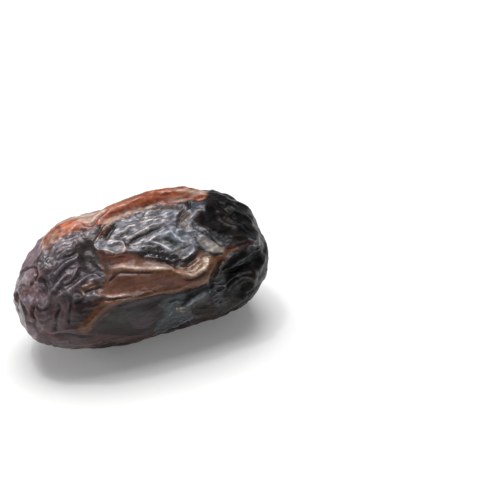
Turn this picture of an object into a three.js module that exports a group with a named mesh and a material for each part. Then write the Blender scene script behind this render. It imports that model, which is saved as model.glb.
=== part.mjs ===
// A medjool date: one soft dried fruit, lying on its side.
//
// Millimetres, +Z up. The fruit's length runs along X, with the blunt stem end at -X. The origin is on
// the surface it lies on, under the middle of the fruit. Places on the skin are given as [along, around]:
// along is X in millimetres, and around is the angle in degrees from the top line towards the -Y side,
// so 90 is the side that faces -Y, 180 is the underside and -90 is the far side.

import * as THREE from 'three';
import { mergeVertices } from 'three/addons/utils/BufferGeometryUtils.js';
import { ImprovedNoise } from 'three/addons/math/ImprovedNoise.js';

// The whole fruit
const LENGTH = 50;
const WIDTH = 27.6;
const HEIGHT = 26.8;
const FULLEST_AT = 5; // where along X the body is thickest
const STEM_END_BLUNTNESS = 2.5; // exponents of the body's outline: 2 is an ellipse, more is squarer
const TIP_END_BLUNTNESS = 2.8;
const FLAT_SPOT_DEPTH = 0.6; // how far the soft underside is pressed flat by the fruit's own weight

// The grid of faces: a box blown up into the fruit, so that neither end has a pole
const CELLS_ALONG = 46;
const CELLS_ACROSS = 24;
const CAP_ANGLE = THREE.MathUtils.degToRad(36); // each end face of the box covers this much, seen from the middle

// Loose wrinkles that run with the length of the fruit
const WRINKLE_RISE = 0.42;
const WRINKLE_LENGTH = 8.5;
const WRINKLE_SPACING = 3.4;
const WRINKLE_DRIFT = 2.2; // how far a wrinkle wanders sideways
const SLACK_RISE = 0.45; // slow, broad unevenness of the shrunken flesh
const SLACK_SIZE = 9;

// The scar where the stalk sat
const SCAR_DEPTH = 0.9;
const SCAR_RADIUS = 1.5;
const SCAR_RIM = 0.35;

// Folds of loose skin. Each crest or furrow is a route over the skin; rise is its height, below zero for a
// furrow, and reach is the half width over which it fades out.
const FOLDS = [
  // the long crest of loose skin on top, its lower start, and the foot it drops to
  { route: [[-10, -5], [-6, -11], [-1, -13], [4, -15], [9, -15], [13, -11], [15.5, -3]], rise: 1.5, reach: 1.6 },
  { route: [[-19, -14], [-16, -18], [-13, -16], [-8.5, -9]], rise: 0.9, reach: 1.6 },
  { route: [[-6, 3], [0, 0], [5, -3], [9, -2], [12, 3]], rise: -0.6, reach: 1.2 },
  // the smooth blister on the near side: its body, its two creases, its knuckle and its lower edge
  { route: [[-11, 58], [-6, 61], [0, 65], [5, 68], [9, 64]], rise: 0.9, reach: 2.8 },
  { route: [[-11.5, 58], [-8.8, 51], [-5, 54], [0, 61], [3, 65]], rise: 0.6, reach: 1.2 },
  { route: [[1, 65], [4.5, 70], [7.5, 69], [9, 62], [8.5, 55]], rise: 0.8, reach: 1.2 },
  { route: [[-15.5, 64], [-12, 67], [-8, 70], [-3, 73], [2, 75], [7, 75]], rise: 0.6, reach: 1.2 },
  { route: [[-8, 78], [-2, 81], [4, 83], [8, 80]], rise: -0.6, reach: 1.3 },
  // the streak that runs down from the blister's left end
  { route: [[-17, 103], [-15.5, 93], [-13.5, 82], [-10.5, 76], [-6, 76]], rise: 0.7, reach: 1.2 },
  // the puffed tongue of wrinkled skin above the blister
  { route: [[-9.5, 27], [-5, 22], [0, 20], [4, 18]], rise: 0.6, reach: 3.2 },
  { route: [[-5, 5], [-7.5, 15], [-9.8, 25], [-8.5, 33], [-5.8, 38]], rise: 0.6, reach: 1.2 },
  { route: [[-5, 42], [-2, 46], [1, 52], [4, 54], [6, 48]], rise: -0.9, reach: 1.1 },
  // the dark hollow between the stem end's wrinkles and that tongue
  { route: [[-11, 12], [-12, 22], [-12.5, 34], [-12, 46]], rise: -0.8, reach: 1.6 },
  // the cross crease, the crest beside it and the small flap that ends on the blister
  { route: [[9, 3], [7.3, 13], [5.7, 21], [5, 29]], rise: -0.8, reach: 1.2 },
  { route: [[11, 17], [9.3, 24], [8, 30]], rise: 0.7, reach: 1.2 },
  { route: [[8, 34], [8.8, 44], [10.5, 55]], rise: 0.7, reach: 1.3 },
  { route: [[6, 36], [7, 47], [8.5, 57]], rise: -0.5, reach: 1.1 },
  // wrinkles that fan out from the stem end over the near shoulder
  { route: [[-20.5, 38], [-18.8, 29], [-16, 23], [-13.5, 17]], rise: 0.5, reach: 1.2 },
  { route: [[-21, 52], [-19.5, 41], [-17.5, 34], [-15, 31]], rise: 0.5, reach: 1.2 },
  { route: [[-19, 58], [-17, 51], [-14.5, 48], [-12.3, 50]], rise: 0.6, reach: 1.2 },
  { route: [[-20, 20], [-18, 10], [-15, 5], [-12, 3]], rise: 0.5, reach: 1.2 },
  { route: [[-22, 0], [-19, -2], [-16, -3]], rise: -0.4, reach: 1.2 },
  // furrows between the rounded lobes of the stem end
  { route: [[-24.3, 20], [-23.5, 42], [-22.8, 58], [-23.8, 78]], rise: -0.5, reach: 1.1 },
  { route: [[-21.3, 58], [-20.8, 70], [-21, 84], [-21.4, 100]], rise: -0.5, reach: 1.1 },
  { route: [[-18.6, 60], [-18.3, 70], [-18.7, 82], [-19.4, 94]], rise: -0.5, reach: 1.1 },
  { route: [[-24, 92], [-22.6, 106], [-20.3, 106], [-17.5, 110]], rise: -0.5, reach: 1.2 },
  { route: [[-21.5, 22], [-21.8, 36], [-20.6, 50]], rise: -0.5, reach: 1.2 },
  // soft folds of the dark tip end, and the shaded hollow behind the crest's right end
  { route: [[9.5, 80], [11, 71], [14, 64], [18, 60]], rise: 0.7, reach: 1.3 },
  { route: [[11, 95], [13.5, 85], [16.5, 84], [18.5, 94]], rise: 0.8, reach: 1.3 },
  { route: [[12, 104], [14, 93], [16, 92]], rise: -0.7, reach: 1.2 },
  { route: [[12.5, 76], [16, 72], [20, 72]], rise: -0.6, reach: 1.3 },
  { route: [[13, 14], [14.5, 26], [14, 38]], rise: -1.1, reach: 3.2 },
  { route: [[13, 50], [17, 52], [21, 56]], rise: 0.6, reach: 1.2 },
  // folds low on the near side
  { route: [[1.3, 100], [2.5, 92], [4.3, 88], [7, 89]], rise: 0.7, reach: 1.1 },
  { route: [[0, 108], [4, 104], [8, 104], [12, 112]], rise: 0.5, reach: 1.2 },
  { route: [[-10, 96], [-4, 98], [0, 104]], rise: -0.4, reach: 1.6 },
  { route: [[-19, 121], [-14, 119], [-8, 122]], rise: 0.4, reach: 1.2 },
  // the far side: a second blister between two long crests, and furrows that leave the stem end
  { route: [[-15, -62], [-8, -70], [0, -74], [8, -70], [16, -60]], rise: 1.2, reach: 1.6 },
  { route: [[-12, -108], [-5, -102], [3, -104], [11, -110]], rise: 0.9, reach: 1.5 },
  { route: [[-6, -87], [1, -89], [7, -88]], rise: 0.7, reach: 2.8 },
  { route: [[-9, -44], [-3, -40], [4, -43], [10, -38]], rise: -0.8, reach: 1.4 },
  { route: [[-2, -52], [0, -44], [1, -34], [3, -26]], rise: 0.7, reach: 1.2 },
  { route: [[12, -82], [15, -92], [14, -106]], rise: -0.8, reach: 1.2 },
  { route: [[-21, -50], [-18, -58], [-17, -72], [-18.5, -88]], rise: -0.7, reach: 1.1 },
  { route: [[-23, -95], [-20, -104], [-16, -106], [-13, -118]], rise: 0.6, reach: 1.1 },
  { route: [[-23.8, -30], [-21.5, -38], [-19, -36], [-16.5, -42]], rise: 0.6, reach: 1.2 },
  { route: [[17, -20], [19.5, -36], [20, -54], [18.5, -70]], rise: 0.7, reach: 1.2 },
  { route: [[-10, -124], [-3, -122], [5, -128], [12, -126]], rise: -0.6, reach: 1.4 },
  { route: [[14, -128], [17, -118], [20, -112]], rise: 0.6, reach: 1.2 },
  // furrows that draw in towards the tip end
  { route: [[18, 30], [21, 30], [24, 45]], rise: -0.5, reach: 1.2 },
  { route: [[17, 118], [20.5, 112], [24, 110]], rise: -0.5, reach: 1.2 },
  { route: [[19, 5], [22, -6], [24.4, -20]], rise: -0.6, reach: 1.2 },
  { route: [[19, -100], [22, -92], [24.3, -80]], rise: -0.5, reach: 1.2 },
];
const FOLD_STEPS = 32; // points compared along each route
const FOLD_END_FADE = 0.22; // share of a route over which each end dies away

// Broad swellings and dents that give the body its uneven outline
const SWELLS = [
  { at: [-12.5, -27], rise: 1.4, reach: 6 },
  { at: [-22.5, -30], rise: -0.6, reach: 4 },
  { at: [4, -24], rise: 0.2, reach: 6 },
  { at: [21, 0], rise: 0.5, reach: 5 },
  { at: [-22, 90], rise: 0.8, reach: 4 },
  { at: [-23.5, 45], rise: 0.7, reach: 4.5 },
  { at: [20, 95], rise: 1.1, reach: 7 },
  { at: [1, 122], rise: -1.4, reach: 7 },
  { at: [-12, 128], rise: -0.9, reach: 5.5 },
  { at: [20, -60], rise: -0.6, reach: 6 },
  { at: [-3, -115], rise: -0.5, reach: 8 },
  { at: [2, -75], rise: 0.8, reach: 9 },
];

// Places where the skin is stretched smooth, so the wrinkles die away
const SMOOTH_PLACES = [
  { at: [-7, 62], reach: 4 },
  { at: [2, 68], reach: 4 },
  { at: [-13, 100], reach: 6 },
  { at: [-3, 100], reach: 7 },
  { at: [0, -89], reach: 6 },
];

const noise = new ImprovedNoise();
const halfLength = LENGTH / 2;
const axisHeight = HEIGHT / 2 - FLAT_SPOT_DEPTH;

// How far x is from the fullest place, as a share of the way to that end, with the end's own bluntness
function station(x) {
  const towardsStem = x < FULLEST_AT;
  const reach = towardsStem ? halfLength + FULLEST_AT : halfLength - FULLEST_AT;
  return {
    share: Math.min(1, Math.abs(x - FULLEST_AT) / reach),
    bluntness: towardsStem ? STEM_END_BLUNTNESS : TIP_END_BLUNTNESS,
    side: towardsStem ? -1 : 1,
    reach,
  };
}

// The smooth body under the wrinkles: its point and its outward direction at [along, around]
function bodyPoint(x, angle) {
  const { share, bluntness } = station(x);
  const fullness = (1 - share ** bluntness) ** (1 / bluntness);
  return new THREE.Vector3(
    x,
    -(WIDTH / 2) * fullness * Math.sin(angle),
    axisHeight + (HEIGHT / 2) * fullness * Math.cos(angle),
  );
}

function bodyOutward(x, angle) {
  const { share, bluntness, side, reach } = station(x);
  const fullness = (1 - share ** bluntness) ** (1 / bluntness);
  const across = fullness ** (bluntness - 1);
  return new THREE.Vector3(
    (side * share ** (bluntness - 1)) / reach,
    (-across * Math.sin(angle)) / (WIDTH / 2),
    (across * Math.cos(angle)) / (HEIGHT / 2),
  ).normalize();
}

function placeOnBody([along, around]) {
  return bodyPoint(along, THREE.MathUtils.degToRad(around));
}

const folds = FOLDS.map(({ route, rise, reach }) => {
  const line = new THREE.CatmullRomCurve3(route.map(placeOnBody));
  return { points: line.getSpacedPoints(FOLD_STEPS), rise, reach };
});
const swells = SWELLS.map(({ at, rise, reach }) => ({ centre: placeOnBody(at), rise, reach }));
const smoothPlaces = SMOOTH_PLACES.map(({ at, reach }) => ({ centre: placeOnBody(at), reach }));

function fade(distance, reach) {
  return Math.exp(-((distance / reach) ** 2));
}

function foldRise(point) {
  let total = 0;
  for (const { points, rise, reach } of folds) {
    let nearest = 0;
    points.forEach((p, i) => {
      if (p.distanceToSquared(point) < points[nearest].distanceToSquared(point)) nearest = i;
    });
    const along = nearest / FOLD_STEPS;
    const endFade = THREE.MathUtils.smoothstep(Math.min(along, 1 - along), -0.02, FOLD_END_FADE);
    total += rise * endFade * fade(points[nearest].distanceTo(point), reach);
  }
  return total;
}

function swellRise(point) {
  return swells.reduce((sum, s) => sum + s.rise * fade(s.centre.distanceTo(point), s.reach), 0);
}

// Sharp-crested wrinkles from folded noise, stretched along the fruit
function wrinkleRise(point) {
  const { x, y, z } = point;
  const calm = smoothPlaces.reduce((left, s) => left * (1 - fade(s.centre.distanceTo(point), s.reach)), 1);
  const drift = WRINKLE_DRIFT * noise.noise(x / WRINKLE_LENGTH, y / SLACK_SIZE, z / SLACK_SIZE + 7);
  const crest = noise.noise(x / WRINKLE_LENGTH + 3, (y + drift) / WRINKLE_SPACING, (z - drift) / WRINKLE_SPACING);
  const slack = noise.noise(x / SLACK_SIZE, y / SLACK_SIZE + 11, z / SLACK_SIZE);
  return WRINKLE_RISE * calm * (0.5 - 2 * Math.abs(crest)) + SLACK_RISE * slack;
}

// The scar is a shallow pit with a low rim, at the very end of the stem end
const scarCentre = placeOnBody([-halfLength, 0]);
function scarRise(point) {
  const distance = scarCentre.distanceTo(point);
  return SCAR_RIM * fade(distance - 1.6 * SCAR_RADIUS, SCAR_RADIUS) - SCAR_DEPTH * fade(distance, SCAR_RADIUS);
}

// Where a point of the unit box lies on the fruit, as the place along and the angle around
function boxToSkin({ x, y, z }) {
  const ring = Math.max(Math.abs(y), Math.abs(z));
  const fromTip = ring < 1 ? ring * CAP_ANGLE : CAP_ANGLE + (1 - Math.abs(x)) * (Math.PI / 2 - CAP_ANGLE);
  const along = Math.sign(x) * halfLength * Math.cos(fromTip);
  const evenly = (side) => (ring === 0 ? 0 : Math.tan((Math.PI / 4) * (side / ring)));
  return { along, around: Math.atan2(-evenly(y), evenly(z)) };
}

// Each cell's four corners are split along the diagonal that bends least, so that slanting folds stay smooth
function splitCells(skin) {
  const index = skin.getIndex();
  const places = skin.getAttribute('position');
  const corner = (i) => new THREE.Vector3().fromBufferAttribute(places, i);
  const facing = (a, b, c) => new THREE.Triangle(corner(a), corner(b), corner(c)).getNormal(new THREE.Vector3());
  for (let i = 0; i < index.count; i += 6) {
    const [a, b, d, c] = [0, 1, 2, 4].map((k) => index.getX(i + k));
    const bendAcrossBD = facing(a, b, d).angleTo(facing(b, c, d));
    const bendAcrossAC = facing(a, b, c).angleTo(facing(a, c, d));
    if (bendAcrossAC < bendAcrossBD) [a, b, c, a, c, d].forEach((vertex, k) => index.setX(i + k, vertex));
  }
}

function makeDate() {
  const box = new THREE.BoxGeometry(2, 2, 2, CELLS_ALONG, CELLS_ACROSS, CELLS_ACROSS);
  box.deleteAttribute('normal');
  box.deleteAttribute('uv');
  const skin = mergeVertices(box);
  const places = skin.getAttribute('position');
  for (let i = 0; i < places.count; i++) {
    const { along, around } = boxToSkin(new THREE.Vector3().fromBufferAttribute(places, i));
    const base = bodyPoint(along, around);
    const rise = foldRise(base) + swellRise(base) + wrinkleRise(base) + scarRise(base);
    const point = base.clone().addScaledVector(bodyOutward(along, around), rise);
    // below the surface it lies on, the soft skin is pressed flat
    places.setXYZ(i, point.x, point.y, Math.max(point.z, 0));
  }
  splitCells(skin);
  // the middle of the finished length and width goes over the origin
  skin.computeBoundingBox();
  const middle = skin.boundingBox.getCenter(new THREE.Vector3());
  skin.translate(-middle.x, -middle.y, 0);
  skin.computeVertexNormals();
  return skin;
}

const dateSkin = new THREE.MeshStandardMaterial({ color: 0x3d241d, roughness: 0.35, metalness: 0 });
const date = new THREE.Mesh(makeDate(), dateSkin);
date.name = 'date';

const fruit = new THREE.Group();
fruit.add(date);

export default fruit;
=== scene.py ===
# %% [markdown]
# A medjool date is one soft dried fruit. Its pulp has shrunk under a thin glossy skin that could not
# shrink with it, so the skin has come loose and lies in folds: long crests, fine wrinkles, blisters and
# dark creases. Where the skin stands off the pulp it is amber or rust, and where it clings it is nearly
# black. This lesson lays a fine mesh over the fruit's plain body, wrinkles it and paints it.

import math

import bpy
import numpy as np
from mathutils import Matrix, Vector, noise
from mathutils.bvhtree import BVHTree


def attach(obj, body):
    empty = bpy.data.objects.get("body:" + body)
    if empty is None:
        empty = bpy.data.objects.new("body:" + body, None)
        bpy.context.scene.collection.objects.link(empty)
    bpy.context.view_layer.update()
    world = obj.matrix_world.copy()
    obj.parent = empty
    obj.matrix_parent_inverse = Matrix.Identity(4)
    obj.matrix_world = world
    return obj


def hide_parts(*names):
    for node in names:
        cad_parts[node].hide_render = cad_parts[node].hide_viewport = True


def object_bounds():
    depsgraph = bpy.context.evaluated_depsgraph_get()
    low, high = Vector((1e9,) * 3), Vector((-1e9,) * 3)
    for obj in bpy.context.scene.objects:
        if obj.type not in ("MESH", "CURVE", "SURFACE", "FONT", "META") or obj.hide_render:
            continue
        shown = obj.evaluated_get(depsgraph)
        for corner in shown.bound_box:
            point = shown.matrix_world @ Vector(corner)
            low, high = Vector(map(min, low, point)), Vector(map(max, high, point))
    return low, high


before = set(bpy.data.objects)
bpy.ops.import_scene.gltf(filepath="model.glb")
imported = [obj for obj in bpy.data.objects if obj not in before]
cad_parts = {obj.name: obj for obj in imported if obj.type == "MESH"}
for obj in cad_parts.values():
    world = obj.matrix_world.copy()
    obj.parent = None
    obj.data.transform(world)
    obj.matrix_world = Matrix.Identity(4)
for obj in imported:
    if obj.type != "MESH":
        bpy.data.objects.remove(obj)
cad_low, cad_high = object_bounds()
MM = 0.001
bpy.ops.object.select_all(action="DESELECT")
print("body from", tuple(cad_low), "to", tuple(cad_high))

# %% [markdown]
# The camera comes first, because the folds on the near side are drawn where the photograph shows them.
# It stands in front of the fruit, a little to the left and well above it, and it is turned so that the
# fruit's middle falls left of the picture's middle, as in the photograph. Nothing is shifted or blurred.

# %% Camera
PHOTO_SIDE = 500
FOCAL_PIXELS = 1118
SENSOR = 36.0
CLIP_RANGE = (0.01, 10)
CAMERA_AZIMUTH = math.radians(-23)
CAMERA_ELEVATION = math.radians(32)
CAMERA_DISTANCE = 220 * MM
MIDDLE_PIXEL = (141.0, 268.2)
MIDDLE_HEIGHT = 13.65 * MM


def pixel_direction(u, v):
    """The direction of a pixel of the photograph, with X to the right, Y up and Z towards the viewer."""
    centre = PHOTO_SIDE / 2
    return Vector(((u - centre) / FOCAL_PIXELS, (centre - v) / FOCAL_PIXELS, -1)).normalized()


def turn_for(wanted, shown):
    """The level camera turn that brings the direction shown in the picture to the wanted one in the room."""
    reach = math.hypot(shown.y, shown.z)
    tilt = math.atan2(shown.y, shown.z) - math.acos(wanted.z / reach)
    tilted = Matrix.Rotation(tilt, 3, "X") @ shown
    heading = math.atan2(wanted.y, wanted.x) - math.atan2(tilted.y, tilted.x)
    return Matrix.Rotation(heading, 3, "Z") @ Matrix.Rotation(tilt, 3, "X")


level = math.cos(CAMERA_ELEVATION)
back = Vector((math.sin(CAMERA_AZIMUTH) * level, -math.cos(CAMERA_AZIMUTH) * level,
               math.sin(CAMERA_ELEVATION)))
middle = Vector((0, 0, MIDDLE_HEIGHT))
eye = middle + back * CAMERA_DISTANCE
camera_turn = turn_for(-back, pixel_direction(*MIDDLE_PIXEL))

lens = bpy.data.cameras.new("camera")
lens.sensor_width = SENSOR
lens.lens = FOCAL_PIXELS * SENSOR / PHOTO_SIDE
lens.clip_start, lens.clip_end = CLIP_RANGE
camera = bpy.data.objects.new("camera", lens)
camera.matrix_world = Matrix.Translation(eye) @ camera_turn.to_4x4()
bpy.context.scene.collection.objects.link(camera)
bpy.context.scene.camera = camera
print("camera at", tuple(round(c, 4) for c in eye))

# %% [markdown]
# The studio is a wide pale sheet, a white room and one large soft lamp overhead. A glossy dark skin shows
# little colour of its own: what it shows is the lamp, as a grey sheen on every slope that faces up, so the
# size and place of the lamp matter as much as the paint. A small lamp behind adds the thin bright rims, and
# a very small one above adds glints. The sheet itself glows a little, like a light table, so the fruit's
# shadow stays pale.

# %% Studio
ROOM_COLOUR = (0.97, 0.98, 1.0, 1)
ROOM_LIGHT = 0.25
SHEET_SIDE = 6.0
SHEET_LOOK = {
    "Base Color": (0.90, 0.90, 0.89, 1), "Roughness": 0.9,
    "Emission Color": (1, 1, 1, 1), "Emission Strength": 0.12,
}
LAMPS = {
    "overhead": {"place": (0.02, 0.11, 0.60), "side": 0.46, "watts": 3.35},
    "rim": {"place": (-0.50, 0.30, 0.20), "side": 0.20, "watts": 0.5},
    "glints": {"place": (-0.10, 0.06, 0.56), "side": 0.05, "watts": 0.35},
}


def add_lamp(name, place, side, watts):
    light = bpy.data.lights.new(name, "AREA")
    light.shape, light.size, light.energy = "SQUARE", side, watts
    lamp = bpy.data.objects.new(name, light)
    lamp.location = place
    lamp.rotation_euler = (middle - Vector(place)).to_track_quat("-Z", "Y").to_euler()
    bpy.context.scene.collection.objects.link(lamp)


def set_inputs(node, values):
    for socket, value in values.items():
        node.inputs[socket].default_value = value


for name, facts in LAMPS.items():
    add_lamp(name, **facts)

world = bpy.data.worlds.new("room")
world.use_nodes = True
set_inputs(world.node_tree.nodes["Background"], {"Color": ROOM_COLOUR, "Strength": ROOM_LIGHT})
bpy.context.scene.world = world
bpy.context.scene.view_settings.view_transform = "Standard"

bpy.ops.mesh.primitive_plane_add(size=SHEET_SIDE)
floor = bpy.context.object
floor.name = "floor"
sheet = bpy.data.materials.new("pale sheet")
sheet.use_nodes = True
set_inputs(sheet.node_tree.nodes["Principled BSDF"], SHEET_LOOK)
floor.data.materials.append(sheet)
bpy.ops.object.select_all(action="DESELECT")
print("studio:", len(LAMPS), "lamps")

# %% [markdown]
# The plain body holds the fruit's outline and its large folds, but its faces are a millimetre wide. A copy
# of it is merged, turned back into four-cornered faces, subdivided and smoothed. It only guides the skin:
# it could be the skin itself, but its grid is too coarse there for a crease a third of a millimetre wide.

# %% A smooth guide from the body
MERGE_DISTANCE = 0.001 * MM
QUAD_ANGLE = math.radians(80)
GUIDE_LEVELS = 2
GUIDE_SMOOTHING = 6


def apply_modifier(piece, name, kind, **settings):
    modifier = piece.modifiers.new(name, kind)
    for key, value in settings.items():
        setattr(modifier, key, value)
    bpy.context.view_layer.objects.active = piece
    bpy.ops.object.modifier_apply(modifier=modifier.name)


guide = bpy.data.objects.new("guide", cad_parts["date"].data.copy())
bpy.context.scene.collection.objects.link(guide)
guide.select_set(True)
bpy.context.view_layer.objects.active = guide
bpy.ops.object.mode_set(mode="EDIT")
bpy.ops.mesh.select_all(action="SELECT")
bpy.ops.mesh.remove_doubles(threshold=MERGE_DISTANCE)
bpy.ops.mesh.tris_convert_to_quads(face_threshold=QUAD_ANGLE, shape_threshold=QUAD_ANGLE)
bpy.ops.object.mode_set(mode="OBJECT")
apply_modifier(guide, "finer", "SUBSURF", levels=GUIDE_LEVELS, render_levels=GUIDE_LEVELS)
apply_modifier(guide, "calm", "SMOOTH", factor=0.5, iterations=GUIDE_SMOOTHING)
bpy.ops.object.select_all(action="DESELECT")
print("guide:", len(guide.data.polygons), "faces")

# %% [markdown]
# The skin starts as a cube, because a ball made of a cube has no poles and its faces are all four-cornered.
# More rows go along the fruit than round it. The cube is cast to a ball, stretched to the fruit's size and
# shrink-wrapped to the guide along its own normals. Its cells are then about 0.2 mm wide, as fine as the
# finest crease that the photograph shows.

# %% The skin's grid
ROWS_ALONG = (16, 11)
ROWS_ROUND = (12, 9)
AXIS_HEIGHT = 12.8 * MM
TINY = 1e-6


def read_rows(items, field, width, kind=float):
    """One row of numbers for each item of a mesh, such as the place of each vertex."""
    flat = np.empty(len(items) * width, kind)
    items.foreach_get(field, flat)
    return flat.reshape(-1, width)


def get_places(piece):
    return read_rows(piece.data.vertices, "co", 3)


def set_places(piece, places):
    piece.data.vertices.foreach_set("co", places.ravel())
    piece.data.update()


def edge_ends(piece):
    return read_rows(piece.data.edges, "vertices", 2, int)


def select_edges(piece, lengthwise):
    """Selects the edges that run along X, or else all the others, ready for an edit mode operator."""
    mesh = piece.data
    ends = get_places(piece)[edge_ends(piece)]
    along_x = np.abs(ends[:, 1, 0] - ends[:, 0, 0]) > TINY
    mesh.vertices.foreach_set("select", np.zeros(len(mesh.vertices), bool))
    mesh.polygons.foreach_set("select", np.zeros(len(mesh.polygons), bool))
    mesh.edges.foreach_set("select", along_x == lengthwise)


def cut_rows(piece, lengthwise, rows):
    """Cuts each chosen edge of the cube into rows[0] times rows[1] lengths."""
    for count in rows:
        select_edges(piece, lengthwise)
        bpy.ops.object.mode_set(mode="EDIT")
        bpy.ops.mesh.subdivide(number_cuts=count - 1, quadcorner="INNERVERT")
        bpy.ops.object.mode_set(mode="OBJECT")


bpy.context.tool_settings.mesh_select_mode = (False, True, False)
bpy.ops.mesh.primitive_cube_add(size=2, location=(0, 0, 0))
skin = bpy.context.object
skin.name = "date_wrinkled_skin"
cut_rows(skin, True, ROWS_ALONG)
cut_rows(skin, False, ROWS_ROUND)
set_places(skin, np.tan(get_places(skin) * math.pi / 4))
apply_modifier(skin, "ball", "CAST", cast_type="SPHERE", factor=1.0, radius=0.0, size=1.0,
               use_radius_as_size=False)
half = (cad_high - cad_low) / 2
bpy.ops.object.mode_set(mode="EDIT")
bpy.ops.mesh.select_all(action="SELECT")
bpy.ops.transform.resize(value=(half.x, half.y, half.z))
bpy.ops.transform.translate(value=(0, 0, AXIS_HEIGHT))
bpy.ops.object.mode_set(mode="OBJECT")
apply_modifier(skin, "wrap", "SHRINKWRAP", target=guide, wrap_method="PROJECT",
               use_negative_direction=True, use_positive_direction=True)
print("skin:", len(skin.data.polygons), "faces")

# %% [markdown]
# A fold is drawn by its route over the skin. On the side that the photograph shows, a route's points are
# pixels of the photograph, and a ray from the camera through the pixel finds the place on the guide. On
# the hidden side a point is [along, around]: millimetres along the fruit, and degrees from the top line,
# where 90 is the near side, 180 the underside and -90 the far side. Both give places on the same skin.

# %% Places on the skin
RAY_START = 0.1

guide_corners = [Vector(place) for place in get_places(guide)]
guide_faces = [tuple(polygon.vertices) for polygon in guide.data.polygons]
guide_tree = BVHTree.FromPolygons(guide_corners, guide_faces)


def seen(*pixels):
    """Places on the near side, by pixels of the photograph. A ray that misses takes the nearest place."""
    places = []
    for u, v in pixels:
        direction = camera_turn @ pixel_direction(u, v)
        hit = guide_tree.ray_cast(eye, direction)[0]
        if hit is None:
            beside = eye + direction * ((middle - eye).dot(direction))
            hit = guide_tree.find_nearest(beside)[0]
        places.append(hit)
    return places


def hidden(*spots):
    """Places anywhere on the skin, by millimetres along and degrees around."""
    places = []
    for spot_along, spot_around in spots:
        angle = math.radians(spot_around)
        outward = Vector((0, -math.sin(angle), math.cos(angle)))
        axis = Vector((spot_along * MM, 0, AXIS_HEIGHT))
        hit = guide_tree.ray_cast(axis + outward * RAY_START, -outward)[0]
        places.append(hit if hit is not None else guide_tree.find_nearest(axis)[0])
    return places


def unroll(places):
    """Millimetres along and degrees around for each place, and its distance from the long axis."""
    flat = np.asarray(places, float).reshape(-1, 3)
    across, above = -flat[:, 1], flat[:, 2] - AXIS_HEIGHT
    return flat[:, 0] / MM, np.degrees(np.arctan2(across, above)), np.hypot(across, above) / MM


skin_places = get_places(skin)
skin_outward = read_rows(skin.data.vertex_normals, "vector", 3)
along, around, girth = unroll(skin_places)
print("a place on the near side:", [round(c, 4) for c in seen((140, 280))[0]])

# %% [markdown]
# What is drawn on the near side can also be echoed on the hidden side: turned half round the upright axis,
# or mirrored. A twin is drawn out a little less and wanders from its place, so that no two sides are alike
# and all are as rich as the near one.

# %% Twins of places
TURNED = ((0.5, -0.92), (-30, -0.85))
MIRRORED = ((0.0, 1.0), (-18, -1.0))
ECHO_WANDER = (1.3, 7.0)
ECHO_SCALE = (7, 30)
ECHO_SEEDS = (5.5, 8.5)
ECHO_LIMITS = (-22.5, 23.0)


def echo(places, turned):
    """Twins of near places. TURNED and MIRRORED hold a shift and a factor, along and around."""
    (along_shift, along_factor), (around_shift, around_factor) = TURNED if turned else MIRRORED
    spots = []
    for near_along, near_around in zip(*unroll(places)[:2]):
        where = (near_along / ECHO_SCALE[0], near_around / ECHO_SCALE[1])
        drift = [noise.noise(Vector((*where, seed))) for seed in ECHO_SEEDS]
        twin_along = along_shift + along_factor * near_along + ECHO_WANDER[0] * drift[0]
        twin_around = around_shift + around_factor * near_around + ECHO_WANDER[1] * drift[1]
        spots.append((float(np.clip(twin_along, *ECHO_LIMITS)), twin_around))
    return hidden(*spots)


for turned in (True, False):
    twin_place = unroll(echo(seen((140, 280)), turned))
    print("twin", "turned:" if turned else "mirrored:", [round(c[0], 1) for c in twin_place[:2]])

# %% [markdown]
# A grown skin varies at every scale, so its colour and its relief both use smooth noise, which looks random
# but is the same on each run. Where such noise passes through zero it draws thin wandering lines, and these
# make good wrinkles, while the noise between them makes the soft hollows. Noise also makes the borders
# between colours wander, and softens them more in some places than in others.

# %% Noise on the skin
SEED_SHIFT = (3.7, 1.3, 2.1)
RIDGE_SHARPNESS = 2.6
RIDGE_WARP = 0.06
WARP_SCALE = 1.3
WARP_SEED = 40


def smooth(low, high, value):
    """A soft step from 0 at low to 1 at high. It falls where low is the larger of the two."""
    share = np.clip((value - low) / (high - low), 0, 1)
    return share * share * (3 - 2 * share)


def mix(first, second, share):
    return first + (second - first) * (share[:, None] if np.ndim(first) == 2 else share)


def noise_field(scale, seed, stretch=1.0):
    """Soft noise from -1 to 1 on the skin, of a scale in millimetres, lengthened along X by stretch."""
    shift = Vector([seed * step for step in SEED_SHIFT])
    scaled = skin_places / MM / np.array([scale * stretch, scale, scale])
    return np.array([noise.noise(Vector(place) + shift) for place in scaled])


def sharp_ridges(scale, seed, stretch=1.0):
    """Thin wandering ridges from 0 to 1 with smooth hollows between them, about that far apart."""
    warp = RIDGE_WARP * noise_field(scale * WARP_SCALE, seed + WARP_SEED, stretch)
    return np.clip(1 - RIDGE_SHARPNESS * np.abs(noise_field(scale, seed, stretch) + warp), 0, 1)


edge_noise = 0.6 * noise_field(1.1, 1) + 0.4 * noise_field(0.45, 2)
wander_along = noise_field(4.5, 3) + 0.5 * noise_field(1.9, 4)
wander_around = noise_field(4.5, 9) + 0.5 * noise_field(1.9, 10)
edge_softness = 1 + 0.8 * noise_field(3.5, 11)
print("edge noise from", round(edge_noise.min(), 2), "to", round(edge_noise.max(), 2))

# %% [markdown]
# Colour and relief both follow zones: rust on the crown, silver wrinkles below it, the amber blister, the
# mauve lobes of the stem end and so on. A zone could be painted by hand, but a ring of places keeps it
# editable. Its edge is made ragged by noise, because stretched skin never changes colour along a ruled
# line. Where the camera doesn't look, the edges wander more.

# %% A zone inside a ring of places
NEAR_WANDER = 0.15
FAR_WANDER = 1.5
EDGE_ON = 0.15
ZONE_SOFTNESS = 0.4
ZONE_RAGGEDNESS = 0.5
HIDDEN_SOFTNESS = 1.2


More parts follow.
